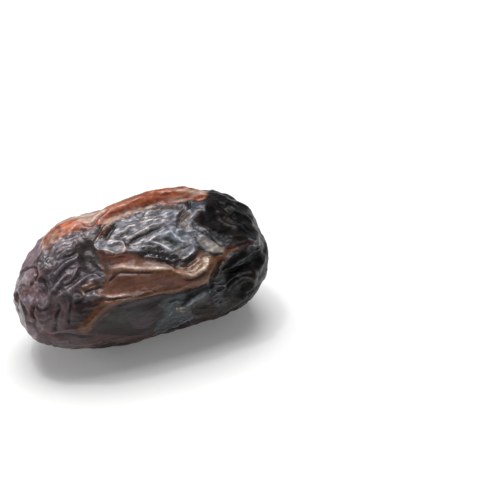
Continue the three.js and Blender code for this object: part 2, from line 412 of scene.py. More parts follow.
def inside_ring(ring, turn, wander):
    """Signed distance in millimetres from a ring of places, above zero inside it."""
    here_along = along + wander * wander_along
    here_around = around + np.degrees(wander * wander_around / girth)
    ring_along, ring_around, _ = unroll(ring)
    ring_around = np.degrees(np.unwrap(np.radians(ring_around))) + turn
    arc = np.radians(1) * girth
    nearest = np.full(len(along), np.inf)
    crossings = np.zeros(len(along), int)
    for i in range(len(ring)):
        x0, t0 = ring_along[i - 1], ring_around[i - 1]
        x1, t1 = ring_along[i], ring_around[i]
        dx, dt = x1 - x0, (t1 - t0) * arc
        px, pt = here_along - x0, (here_around - t0) * arc
        share = np.clip((px * dx + pt * dt) / (dx * dx + dt * dt + 1e-9), 0, 1)
        nearest = np.minimum(nearest, np.hypot(px - share * dx, pt - share * dt))
        spans = (t0 > here_around) != (t1 > here_around)
        crossings += spans & (here_along < x0 + (here_around - t0) * dx / (t1 - t0 + 1e-12))
    return np.where(crossings % 2 == 1, nearest, -nearest)


to_eye = np.array(eye) - skin_places
to_eye /= np.linalg.norm(to_eye, axis=1)[:, None]
unseen = smooth(EDGE_ON, -EDGE_ON, (skin_outward * to_eye).sum(1))


def zone(ring):
    """How far each place of the skin belongs to a zone, from 0 to 1. Hidden borders wander more."""
    wander = mix(NEAR_WANDER, FAR_WANDER, unseen)
    depth = np.max([inside_ring(ring, turn, wander) for turn in (-360, 0, 360)], axis=0)
    depth = depth / (1 + HIDDEN_SOFTNESS * unseen) + ZONE_RAGGEDNESS * edge_noise
    return smooth(-ZONE_SOFTNESS, ZONE_SOFTNESS, depth / edge_softness)


print("turned away from the camera:", round(100 * unseen.mean()), "% of the skin")

# %% [markdown]
# On the crown the skin stands well off the pulp and has dried thin. A rolled edge of it is rust red with
# ember streaks, the skin beside the roll is fawn or pale like that of an onion, and its torn lower margin
# is tan with a pink flush. Every zone here is one or more rings of places, each listed once round.

# %% Zones of the crown
ZONES = {
    "rust": [
        seen((42, 246), (44.5, 248.5), (50, 243.5), (60, 237.5), (70, 233.5), (76, 231.5), (84, 229.5),
             (91, 229), (98, 225.5), (108, 221), (120, 216.5), (133, 210.5), (145, 206.5), (154, 204),
             (163, 201.5), (176, 200), (190, 199.5), (200, 200.5), (206.5, 196.5))
        + hidden((16.5, -10), (13.5, -22), (11, -34), (4, -42), (0, -38), (-4, -43), (-9, -40),
                 (-13, -36), (-16, -38), (-18.6, -26)),
    ],
    "fawn": [
        seen((92, 215), (100, 211.5), (110, 208.2), (120, 204), (132, 198.8), (144, 194), (156, 191),
             (164, 189.8))
        + hidden((6, -29), (3, -32), (-2, -34), (-7, -33), (-9, -31)),
        seen((43, 244.5), (48, 240.5), (54, 236.5), (60, 234.5), (61, 236.5), (54, 240.5), (47, 245)),
        seen((42, 242), (46, 238.5), (52, 233), (58, 228.5), (60, 230.5), (54, 235.5), (48, 240), (44, 243)),
    ],
    "ember": [
        seen((124, 211.5), (133, 206.5), (144, 202), (152, 199.5), (160, 198), (158, 201.5), (148, 204.8),
             (138, 208.5), (129, 212)),
        seen((180, 198.8), (190, 197), (200, 196.3), (206, 197), (203, 200), (192, 200.3), (184, 200.6)),
        seen((98, 217), (106, 211.5), (114, 208.5), (120, 206.5), (118, 209.5), (110, 213), (102, 217.5)),
        hidden((13, -20), (6, -27), (0, -29), (1, -33), (8, -35), (13, -30)),
        hidden((-13, -24), (-17, -30), (-15, -37), (-12, -31)),
    ],
    "pale": [
        seen((103, 222.5), (112, 217), (122, 212.3), (133, 208.3), (141, 206.5), (140, 211), (129, 216),
             (118, 220.5), (109, 226.5)),
        seen((139, 209.5), (147, 206), (154, 203.8), (158, 203), (155, 205.5), (148, 208), (141, 211)),
        seen((184, 195.8), (194, 193.5), (204, 192.5), (206, 195), (198, 196.5), (190, 197.2)),
        seen((168, 190.2), (180, 188.8), (194, 190), (204, 192.6), (200, 193.6), (190, 191.8),
             (178, 191)),
        seen((167, 200.6), (174, 198.2), (182, 197.4), (186, 199), (184, 202.4), (177, 204), (170, 203.6)),
        seen((73, 219), (80, 221.5), (85, 223), (90, 225), (95, 221.5), (100, 215.5), (106, 211.5))
        + hidden((-7, -26), (-8, -31), (-12, -34), (-15, -30)),
    ],
    "tan": [
        seen((95, 240), (97, 234), (101, 228), (106, 223.8), (113, 220.5), (118, 218), (127, 214),
             (133, 211.5), (132, 216), (128, 219), (120, 220.5), (116, 223.5), (111.5, 230), (107.5, 236),
             (103, 241)),
    ],
    "flush": [
        seen((157, 204.8), (160, 201.8), (168, 200.2), (176, 200.6), (177, 204.5), (170, 205.8),
             (162, 206)),
        seen((121, 217), (128, 216), (128.5, 218.6), (122, 219.4)),
    ],
}
print("zones so far:", len(ZONES))

# %% [markdown]
# Below the roll the skin is crumpled fine and silver grey, partly from its own wax and partly as a painted
# reflection of the lamp overhead. It has a bare brown margin and painted shade beside the cross crease, and
# it ends to the right in a smooth flap with a thin veil beside it. In its lower half lie a dull pit, grains
# with painted glints and three folds with a painted pearly sheen. These are zones of their own because their
# painted highlights differ.

# %% Zones of the silver skin
ZONES.update({
    # Silver: the skin's wax bloom together with a painted reflection of the lamp.
    "silver": [
        seen((95, 246), (96, 241), (99, 240), (104, 241), (108, 236.5), (112, 230), (116.5, 223),
             (121, 220), (129, 219), (133, 212.5), (142, 208.5), (150, 206), (158, 205), (166, 205),
             (176, 205), (186, 206), (190, 209), (197, 207.5), (204, 206), (205, 209), (197, 214),
             (192, 219), (191, 224), (197, 229), (204, 234.5), (211, 240.5), (218, 244.5), (223, 248.5),
             (222.5, 252.5), (214, 254), (206, 251.5), (200, 247), (196.5, 250.5), (192, 254.5),
             (186, 258), (179, 259.5), (170, 260), (160, 257.5), (148, 254), (138, 252), (130, 252),
             (122, 253.5), (114, 253.5), (107, 251.4), (99, 250)),
    ],
    "bare": [
        seen((179, 213), (184, 209), (189, 212), (190, 218), (188.5, 226), (184, 230), (178, 229),
             (177, 221)),
        seen((148, 209.5), (156, 206.5), (166, 206), (176, 205.6), (186, 206.5), (185, 210.5), (176, 210),
             (166, 209.5), (156, 210.8)),
    ],
    # Painted shade beside the cross crease.
    "dusky": [
        seen((189.5, 200.5), (198, 201), (206, 203), (204, 206), (197, 208), (192, 212.5), (189, 211)),
        seen((192, 227), (198, 229), (203.5, 233), (201, 236), (196, 236), (191.5, 231)),
    ],
    "flap": [
        seen((195, 236.5), (199, 235), (204, 236.5), (210, 240), (217, 243.5), (223.5, 248), (223, 252.8),
             (214, 254.2), (206, 251.7), (200.5, 247.5), (196, 240)),
    ],
    "flap_end": [
        seen((206, 244), (212, 243), (218, 245), (223.5, 248), (223, 252.8), (214, 254.2), (207, 251.8)),
    ],
    "veil": [
        seen((192, 221), (197, 223), (204, 226.5), (212, 230.5), (220, 235), (230, 239.5), (238, 241.5),
             (234, 245.5), (226, 246.2), (218, 243.5), (209, 238), (200, 231), (194, 227)),
    ],
    # Painted glints: near-white crest colour on small grains.
    "glinting": [
        seen((136, 252), (143, 247), (150, 245), (158, 247), (166, 250), (174, 254), (182, 257.5),
             (188, 258.5), (180, 261.5), (168, 262), (156, 260), (146, 257.5)),
        seen((42.5, 257), (47, 254.5), (50.5, 257), (51.5, 264), (48.5, 269.5), (45, 267)),
    ],
    "pit": [
        seen((161, 243), (163.5, 239.6), (166, 238), (169.5, 237.2), (173, 240.4), (177, 243.6), (182, 245),
             (187, 245), (185, 248.5), (181, 251.5), (178, 254), (173, 251), (173, 246.5), (168, 244)),
    ],
    # Painted pearly sheen on three folds.
    "pearl": [
        seen((181, 254), (184.5, 250.5), (188, 247.5), (191, 244), (193, 247), (192, 252), (188, 256),
             (183, 258.3), (179, 258.5), (177, 255)),
        seen((161, 245), (165, 244.3), (171, 247.3), (172.5, 249.5), (167, 249.3), (162, 247.8)),
        seen((146, 244), (152, 240.4), (158, 237.6), (165, 236.4), (170, 234.6), (174, 238.6),
             (180, 243.2), (187, 244.6), (188, 241.2), (182, 240.2), (177.5, 237), (173, 232.4),
             (169.5, 230), (164, 232.8), (158, 233.6), (152, 236.2), (146, 240.4)),
    ],
})
print("zones so far:", len(ZONES))

# %% [markdown]
# The blister is a loose bag of amber skin in the middle of the near side. It is garnet where the skin is
# thick and golden where it is thin, with a dark cleft at its left end. Its top is lighter, partly as a
# painted sheen. A painted glare lies on its crest, and above the crest lies a frosted band that is partly a
# painted highlight. The skin is crackled where the bag has slipped to the right. A pale lip borders it, as
# one borders the left end of the crown, and the lip is partly a painted highlight along its crest. A pointed
# brown spindle closes its left end, and an amber streak runs down to the belly.

# %% Zones of the blister
ZONES.update({
    # The lips are pale skin, partly a painted highlight along their crests.
    "lip": [
        seen((43, 247.5), (48, 244.5), (54, 241), (61, 237.5), (63, 240), (57, 244), (51, 248.5),
             (46, 251.5), (43, 251)),
        seen((104, 294.6), (114, 295.6), (124, 294.2), (130, 292.6), (140, 292.2), (146, 290.4),
             (140, 294.8), (130, 296.4), (120, 297.6), (108, 297.6)),
        seen((97, 248.8), (103, 249.6), (110, 250.8), (116, 253), (121, 251.8), (123.2, 249), (123, 243),
             (125, 244), (126.2, 250), (122, 254.4), (115, 255.6), (108, 253.2), (100, 251.3)),
    ],
    "spindle": [
        seen((80, 289), (84, 284.8), (90, 282), (97, 280), (103, 281.8), (101, 285), (94, 287), (88, 290),
             (83, 292)),
    ],
    "amber": [
        seen((98, 251.5), (107, 253), (114, 255), (122, 253.4), (128, 252.6), (134, 254.6), (141, 257.4),
             (154, 260.8), (166, 263.8), (176, 268), (185, 267), (193, 261), (197.5, 254), (199.5, 249.5),
             (205, 253.5), (213, 257), (220, 256), (228, 251.5), (226, 256), (219, 266), (214, 276),
             (206, 283), (196, 287), (184, 289), (166, 290), (152, 294), (136, 297.5), (118, 297.5),
             (104, 296.5), (96, 293.5), (101, 287), (104.5, 280), (106, 272), (101, 262)),
    ],
    # A lighter top of the blister, partly a painted sheen.
    "sheen": [
        seen((122, 264.5), (132, 263), (150, 264.5), (168, 266.5), (178, 269.5), (188, 268.5), (197, 263),
             (201, 257), (205, 257), (208, 262), (205, 270), (196, 277.5), (184, 277.5), (172, 273.5),
             (160, 272), (140, 271.8), (122, 271.3), (115, 272.5), (112, 270), (116, 267)),
    ],
    "garnet": [
        seen((99, 252), (107, 254), (116, 256), (124, 255.5), (130, 257.5), (132, 261), (127, 264.3),
             (118, 265), (112, 268), (107, 268), (102, 259)),
        hidden((17, -34), (20, -42), (21.8, -66), (20.5, -92), (18.6, -84), (19, -60)),
    ],
    # Painted glare on the blister's crest.
    "painted_glare": [
        seen((113, 269), (119, 266.3), (128, 265.8), (140, 267.5), (150, 269.2), (142, 271), (128, 270.3),
             (119, 270)),
        seen((181, 272.5), (188, 271), (196, 269.5), (203, 264), (206.5, 265), (200, 271.5), (192, 275.5),
             (184, 275.5)),
        seen((170, 270), (178, 269.5), (186, 271), (187, 275.5), (180, 275), (172, 273)),
    ],
    # A frosted band above the crest, partly a painted highlight.
    "frosted_highlight": [
        seen((141, 268.4), (144, 263.5), (149, 260.6), (158, 262), (167, 264.6), (175, 268), (168, 270),
             (156, 269.8)),
    ],
    "cleft": [
        seen((102, 256), (108, 258), (113, 261), (113, 265), (109, 270), (105, 276), (102, 270), (102, 262)),
    ],
    "crackled": [
        seen((188, 269), (195, 263.5), (199, 257.5), (202, 253.8), (207, 254.5), (211.5, 258), (210, 265),
             (205, 271), (196, 275.5), (187, 275.5), (183, 271.5)),
    ],
    "golden": [
        seen((146, 271), (160, 269), (172, 269.5), (180, 273), (176, 277), (164, 275), (150, 273)),
        seen((196, 281), (203, 276), (208, 268), (210.5, 259), (217, 256), (226, 253.5), (220, 263.5),
             (214.5, 275), (208, 283), (196, 286)),
    ],
    "streak": [
        seen((77, 332), (79, 326), (87, 316), (95, 307), (100, 303), (93, 303.5), (101, 300.5),
             (112, 299), (128, 296.8), (146, 293), (164, 289), (180, 286), (197, 283), (197, 287.5),
             (178, 291.5), (162, 295), (144, 298.6), (128, 302.4), (119, 306), (110, 313), (100, 322),
             (91, 330), (84, 335)),
        seen((222, 252.5), (226, 247.8), (234, 246), (239, 246), (236, 249.5), (228, 253.5)),
    ],
    "wine": [
        seen((231, 247), (236, 243), (246, 239.5), (253, 241), (251, 246), (241, 249.5), (234, 251.5)),
        hidden((12, -96), (16, -88), (19, -92), (17, -102), (13, -104)),
    ],
})
print("zones so far:", len(ZONES))

# %% [markdown]
# Towards the stalk the skin lies in soft mauve lobes with wine red blushes between them. The rosy lobes at
# the left end are partly their own colour and partly a painted rim light. The lilac ones are mauve skin with
# a painted sheen, on the lobes that face up and along the left rim. Above them the shoulder is wrinkled like
# crepe paper, with two dimples, down to a dark hollow beside the silver skin.

# %% Zones of the stem end
ZONES.update({
    "shoulder": [
        seen((38, 262), (42, 254), (48, 247.5), (56, 242.5), (64, 237.5), (72, 233), (78, 229),
             (90, 226.5), (97, 225.5), (96, 231), (91, 237), (82, 239), (79, 246), (73, 250.5),
             (66, 254.5), (61, 259), (57, 263), (53, 268), (47, 270), (42, 268)),
        seen((84, 280.5), (90, 276), (97, 274.6), (104, 278), (106, 283), (101, 281), (94, 279.8),
             (88, 282)),
    ],
    "crepe": [
        seen((46, 276), (52, 270), (58, 264), (66, 260), (76, 256), (78, 244), (84, 237), (93, 235),
             (97, 243), (95, 251), (101, 258), (107, 268), (108, 280), (104, 290), (98, 299), (84, 302),
             (76, 300), (68, 294), (60, 296), (50, 292)),
        hidden((11, -28), (17, -20), (20, -34), (20, -60), (16, -72), (11, -66), (9, -48)),
    ],
    "hollow": [
        seen((79, 245), (84, 239), (93, 235), (95, 246), (99, 252), (104, 258), (107, 266), (105, 275),
             (96, 272), (88, 266), (80, 264), (78, 255)),
    ],
    "dimple": [
        seen((38, 278), (43, 275.5), (48, 280), (49, 288), (45, 293.5), (40, 291), (38, 285)),
        seen((81, 268), (88, 264.5), (95, 266), (102, 270), (106, 275), (101, 275.2), (94, 275),
             (88, 277), (83, 280), (78.5, 275)),
    ],
    # Rosy lobes: their own colour together with a painted rim light at the left end.
    "rosy": [
        seen((12, 302), (16, 282), (24, 268), (36, 264), (45, 274), (48, 288), (42, 300), (34, 304),
             (31, 316), (36, 334), (28, 326), (18, 310)),
        hidden((-19, -130), (-15, -124), (-14, -142), (-18, -150)),
    ],
    # Lilac: mauve skin with a painted sheen on up-facing lobes and along the left rim.
    "lilac_sheen": [
        seen((24, 320), (29, 321.5), (34, 326), (38.5, 331.5), (40, 336), (34, 334), (27, 327)),
        seen((16, 281), (20, 277), (19.5, 288), (18.5, 298), (21, 307), (18, 306), (14.5, 297),
             (14.5, 288)),
        seen((22, 295), (28, 297), (34.5, 294), (33, 301), (29, 309.5), (25, 303)),
        seen((37, 297), (42, 299), (49, 294), (48, 302), (44, 307), (40, 306)),
        seen((24, 271), (29, 267.5), (34, 270), (33, 278), (28, 284), (25, 280)),
        seen((22, 268), (26, 260), (31, 254), (37, 250), (43, 248.5), (42, 254), (37, 259), (31, 262),
             (26, 267)),
        hidden((-22, -8), (-19, -16), (-17.5, -24), (-15.5, -36), (-18, -46), (-22, -40)),
    ],
    "blush": [
        seen((24, 289), (29, 286), (33, 289), (32, 294), (27, 296)),
        seen((31.5, 305), (34.5, 304), (35.5, 310), (35.5, 317), (38, 323), (34.5, 322), (32, 316)),
        seen((42, 331.5), (48, 333.5), (56, 334.5), (67, 334.5), (65, 337.5), (54, 338), (46, 336)),
    ],
})
print("zones so far:", len(ZONES))

# %% [markdown]
# The belly is taut, smooth and nearly black, with bluish, mossy, plum and russet casts and one pale fleck.
# The tip end has brown mottles and knobbly crumbs, a painted highlight on a line or two of its folds and, at
# the top, a painted shadow that makes it blackest there.

# %% Zones of the belly and the tip
ZONES.update({
    "bluish": [
        seen((158, 304), (170, 297.5), (186, 294), (200, 288), (210, 288), (212, 294), (206, 300),
             (196, 304), (192, 313), (200, 319), (186, 324), (172, 330), (152, 334), (158, 322),
             (166, 312)),
        hidden((6, -128), (14, -118), (19, -108), (18, -124), (10, -136), (2, -138)),
    ],
    "taut": [
        seen((104, 310), (120, 305), (145, 300.5), (168, 297), (186, 293), (190, 290), (184, 299),
             (177, 309), (170, 322), (150, 336), (120, 343), (90, 344), (84, 336), (90, 330)),
    ],
    "plum": [
        seen((100, 303), (116, 299.8), (134, 298.5), (152, 296), (160, 298), (148, 305), (130, 308),
             (112, 309)),
        seen((128, 320), (146, 317), (158, 318), (150, 327), (134, 330)),
    ],
    "moss": [
        seen((106, 315), (122, 311), (140, 310), (152, 313), (144, 319), (126, 323), (110, 322)),
        hidden((-6, -150), (2, -140), (8, -146), (4, -160), (-4, -162)),
    ],
    "russet": [
        seen((60, 338), (84, 332), (110, 335), (140, 336), (164, 331), (150, 339), (120, 345), (90, 348),
             (66, 346)),
        hidden((-12, 170), (-2, 164), (8, 172), (4, -176), (-8, -174)),
    ],
    "fleck": [
        seen((177, 308), (180, 305), (184, 306.5), (186, 310), (182.5, 312.5), (178, 311.5)),
    ],
    "mottled": [
        seen((190, 306), (200, 306), (212, 304), (224, 299), (236, 297), (244, 300), (238, 307),
             (226, 313), (212, 318), (200, 316.5), (191, 312)),
        hidden((9, -140), (15, -128), (19, -140), (17, -158), (10, -156)),
    ],
    "knobbly": [
        seen((213, 276), (218, 270), (223, 272), (226, 284), (224, 296), (226, 305), (216, 308),
             (211, 298), (213, 286)),
    ],
    # A painted shadow darkens the top of the tip end to near black.
    "painted_top_shadow": [
        seen((198, 215), (206, 210), (219, 207), (228, 215), (225, 225), (214, 229), (204, 225)),
    ],
    # Painted highlights: a pale crest colour on a line or two of the tip's folds.
    "painted_line_highlights": [
        seen((242, 238), (250, 233), (262, 231), (264, 246), (248, 248)),
    ],
})
print("zones so far:", len(ZONES))

# %% [markdown]
# The hidden side gets twins of the larger zones, turned half round (True) or mirrored (False). The last two
# zones go right round the fruit: mauve at the stem end and black at the tip, which is partly the tip's dark
# skin and partly painted shade. A ring can't do that, so each is bounded by one line round the fruit, like a
# cuff, with the side of the line on which the zone lies.

# %% Twins on the hidden side and cuffs at the ends
ECHOED = {
    "silver": True, "tan": True, "flap": True, "amber": True, "sheen": True, "painted_glare": True, "streak": True,
    "glinting": True, "crepe": False, "hollow": False, "veil": False, "knobbly": False,
}
CUFFS = {
    "mauve": (-1, seen((30, 260), (42, 268), (48, 280), (56, 293), (69, 300), (71, 312), (72, 326),
                       (86, 341))
              + hidden((-11, 160), (-13, -160), (-15, -120), (-16, -80), (-17, -40), (-20, -10))),
    # The black cuff is the tip's dark skin, deepened by painted shade.
    "black": (1, seen((206, 205), (202, 213), (198, 222), (207, 233), (223, 247), (226, 256), (219, 267),
                      (214, 278), (209, 287), (212, 296), (214, 308))
              + hidden((14, 130), (16, 170), (16, -150), (18, -110), (17, -70), (17, -30))),
}
CUFF_WANDER = (0.4, 2.0)
CUFF_SOFTNESS = (1.3, 3.0)
CUFF_RAGGEDNESS = 1.2


def cuff(side, places):
    """A zone that goes right round the fruit: all that lies beyond a line through the places."""
    line_along, line_around, _ = unroll(places)
    order = np.argsort(line_around)
    edge = np.interp(around, line_around[order], line_along[order], period=360)
    beyond = side * (along + mix(*CUFF_WANDER, unseen) * wander_along - edge)
    softness = mix(*CUFF_SOFTNESS, unseen)
    return smooth(-softness, softness, beyond + CUFF_RAGGEDNESS * edge_noise)


for name, turned in ECHOED.items():
    ZONES[name].append(echo(ZONES[name][0], turned))
zones = {name: cuff(*facts) for name, facts in CUFFS.items()}
zones.update({name: np.max([zone(ring) for ring in rings], axis=0) for name, rings in ZONES.items()})
for name, share in zones.items():
    print("zone", name, "covers", round(100 * share.mean(), 1), "% of the skin")

# %% [markdown]
# Each fold is a route with a rise in millimetres, below zero for a crease, and two half widths: how fast it
# falls off to the left and to the right of the way it is drawn. Unequal widths make a lip, steep on one
# side. Carving it by hand with a sculpting brush would do the same, but a table can be corrected. The first
# rows are the roll on the crown and the crepe wrinkles of the shoulder, which all run down to the blister.

# %% Folds of the crown and the shoulder
NEAR_FOLDS = [
    # the rust roll on the crown, the crease under it and its pale torn margin
    (0.45, 1.6, 0.9, [(93, 222), (103, 215.5), (116, 209.5), (130, 203), (141, 198.2), (152, 194.8),
                      (165, 193), (180, 192.3), (195, 193.5), (205, 195)]),
    (-0.25, 0.3, 0.6, [(132, 209.5), (140, 207), (148, 204.8), (156.5, 202.6), (163, 201)]),
    (-0.14, 0.3, 0.5, [(163, 201), (173, 200.2), (185, 199.2), (194, 199.3), (202, 200.5)]),
    (-0.14, 0.3, 0.6, [(93, 228), (103, 222.5), (118, 215), (132, 209)]),
    (0.25, 0.25, 0.5, [(150, 208), (158, 205), (166, 203.6), (176, 203), (184, 202)]),
    (0.12, 1.4, 0.8, [(42, 248), (52, 239), (62, 231), (71, 225), (80, 224), (88, 226.5)]),
    (-0.3, 0.35, 0.6, [(44, 252), (54, 245.2), (62, 239.8), (71, 236), (75, 231.6), (80, 231),
                       (88, 229.5)]),
    (-0.35, 0.3, 0.35, [(82, 222), (89.7, 225.4), (94.3, 223), (98, 218.4), (102.4, 214.4),
                        (108, 211.5)]),
    # wrinkles of the shoulder, from the crown down to the long one that ends at the blister
    (0.45, 0.28, 0.3, [(53, 261.5), (57, 262), (58.5, 258), (61, 254.8), (65, 252), (69, 250.2),
                       (73.5, 248.6), (76, 245.5), (78, 241)]),
    (0.3, 0.35, 0.4, [(49, 252.2), (55.8, 246.5), (62, 241), (68, 237.2), (73.6, 232.6)]),
    (0.3, 0.2, 0.25, [(39.2, 257.4), (42.6, 250), (46, 247)]),
    (0.25, 0.2, 0.25, [(43, 262), (45.5, 255.5), (49, 251)]),
    (0.35, 0.25, 0.3, [(73, 230), (76, 232.6), (80.5, 233), (84.5, 238.5), (91, 237)]),
    (0.42, 0.28, 0.3, [(53, 276.2), (58.2, 271), (65.1, 264.1), (72, 259.8), (77.2, 256.3),
                       (78.4, 252.5)]),
    (-0.12, 0.5, 0.5, [(54, 272), (60, 265), (66, 259), (73, 256), (77, 252)]),
    (-0.2, 0.4, 0.4, [(51, 285), (58, 276.5), (64, 269.5), (71, 264.5), (78, 260)]),
    (0.38, 0.26, 0.26, [(49.6, 292.5), (55.7, 287.4), (60, 280.5), (66, 274.4), (70.5, 273)]),
    (0.33, 0.22, 0.22, [(62.5, 282), (66, 283), (72, 279.5), (75.5, 271.5), (79.5, 266.5)]),
    (-0.2, 0.35, 0.35, [(56, 291.5), (62, 286.8), (71, 283.8), (77, 278), (83, 271)]),
    (0.4, 0.22, 0.35, [(50.5, 295.1), (54.8, 297), (61.7, 293.4), (68.6, 289.9), (75.5, 284.2),
                       (82.4, 279.6), (90.1, 275.8), (97.2, 275.6), (103, 280.5), (105.5, 282)]),
    # the dark hollow beside the silver skin, and the small leaf of skin in it
    (-0.45, 1.3, 1.3, [(86, 244), (84, 254), (86, 264), (90, 270)]),
    (0.35, 0.25, 0.4, [(88.9, 261.3), (92.6, 256.5), (95, 258.5)]),
    (0.3, 0.4, 0.25, [(96.3, 264), (101.8, 268.7), (104, 266.5)]),
    (0.3, 0.8, 0.8, [(91, 260), (96, 263), (100, 266)]),
    # the dark spindle at the blister's left end
    (0.45, 0.3, 0.4, [(80.6, 289.5), (84.3, 293.7), (88.9, 295.5), (95.4, 293.9), (100, 295.5),
                      (105.5, 296)]),
    (0.25, 0.2, 0.2, [(80.6, 288), (88.9, 284), (95, 281)]),
    (0.2, 0.2, 0.2, [(84, 291), (92, 287.3), (99, 284.5)]),
    (-0.45, 0.7, 0.7, [(95, 289.5), (100, 288), (104, 290.5)]),
]
BEAD_RISE, BEAD_WIDTH = 1.3, 0.2
BEADS = [
    [(44.3, 257), (45.6, 258.4)],
    [(47.4, 256), (48.6, 257)],
    [(45.2, 261.8), (45.8, 264)],
    [(48.6, 261.2), (49.6, 262.6)],
    [(46.4, 267.4), (48.2, 268.6)],
    [(50, 265.6), (51, 267)],
]
NEAR_FOLDS += [(BEAD_RISE, BEAD_WIDTH, BEAD_WIDTH, route) for route in BEADS]
print("folds so far:", len(NEAR_FOLDS))

# %% [markdown]
# The blister has a sharp crest with a steep lower side and a crease under it, as a tent has over its pole.
# At its right end the loose skin has slipped into four folds, one behind the other, bent like a bow.

# %% Folds of the blister
NEAR_FOLDS += [
    # the blister: the lip above it, its crest and sharp crease, its body and its lower edge
    (0.5, 0.22, 0.22, [(95, 248.6), (102.8, 250.4), (109, 251.6), (115.7, 254), (121.3, 252.8),
                       (124.6, 250), (124.2, 244.5), (122, 239)]),
    (0.3, 0.2, 0.2, [(106, 256.8), (114, 256.6), (121, 255.2), (128, 256)]),
    (-0.5, 0.4, 0.4, [(126, 242.5), (128.5, 245), (131.5, 247.5)]),
    (-0.15, 0.2, 0.3, [(96, 252.5), (106.5, 255), (113, 257), (121, 256.5), (128, 257)]),
    (0.28, 0.25, 0.2, [(106.5, 282.5), (110, 277), (114, 270.5)]),
    (0.33, 1.1, 0.25, [(110, 276.5), (115, 270.2), (123, 268.5), (134.2, 269.4), (143.5, 270.4),
                       (158.3, 270.6), (169.4, 270.4), (176.8, 272.2)]),
    (0.2, 0.2, 0.2, [(140, 269.6), (150, 270), (162, 270), (173, 270.6)]),
    (-0.35, 0.2, 0.35, [(107.8, 283.5), (111.8, 278.3), (116.2, 274), (121.3, 272.4), (130.5, 272.6),
                        (140, 272.6), (154, 272.8)]),
    (0.25, 0.18, 0.3, [(104, 296), (112, 297), (119.4, 296.4), (126.8, 294.8), (132.4, 296), (137.9, 295),
                       (143.5, 292.3), (149.9, 290.8), (154.6, 292), (161, 290.2), (166, 287.3)]),
    (0.2, 0.3, 0.3, [(140, 290.5), (143.8, 288.4), (148, 289), (154, 287.5), (159, 285.8), (165, 285.6)]),
    (0.4, 0.6, 0.25, [(174, 272), (179.5, 274), (187, 275.8), (194, 276), (200.8, 272.6), (206.4, 267),
                      (208.4, 261.5), (206, 256)]),
    (0.3, 0.2, 0.25, [(176.8, 266.8), (187.9, 268), (196.2, 262.8), (199, 258)]),
    (0.25, 0.2, 0.2, [(180, 270.8), (190, 271.8), (198, 267), (202.5, 260)]),
    (0.2, 0.2, 0.2, [(192, 267.5), (197.5, 262.5), (201, 256.5)]),
    (-0.25, 0.2, 0.3, [(143.5, 259), (155.5, 261), (167.5, 263), (175.8, 267), (184.2, 266),
                       (193.4, 259.5), (196.5, 254)]),
    (-0.35, 0.25, 0.5, [(183, 279), (192, 279.5), (201, 275.8), (207.5, 270)]),
    # the streak under the blister and the smooth skin it borders
    (0.3, 0.4, 0.5, [(97, 303.5), (109, 301.6), (126.8, 299), (144, 295.6), (162, 291.4), (176.8, 288.6),
                     (190.6, 284)]),
    (0.45, 0.7, 0.7, [(82.4, 330), (88.9, 323.3), (96.3, 315.9), (102.8, 309), (110, 303.6),
                      (118, 300.8)]),
    (-0.2, 0.2, 0.2, [(110, 299.4), (127, 297.2), (143, 294), (158, 290.4)]),
    (-0.3, 0.35, 0.9, [(90, 329), (98, 320), (107, 311.5), (117, 306), (129, 302.8), (146, 299),
                       (166, 295)]),
]
print("folds so far:", len(NEAR_FOLDS))

# %% [markdown]
# The silver skin has long crests with deep creases between them, all drawn out along the fruit. A deep
# cross crease ends them, and beyond it a flap of skin hangs down over the blister's edge.

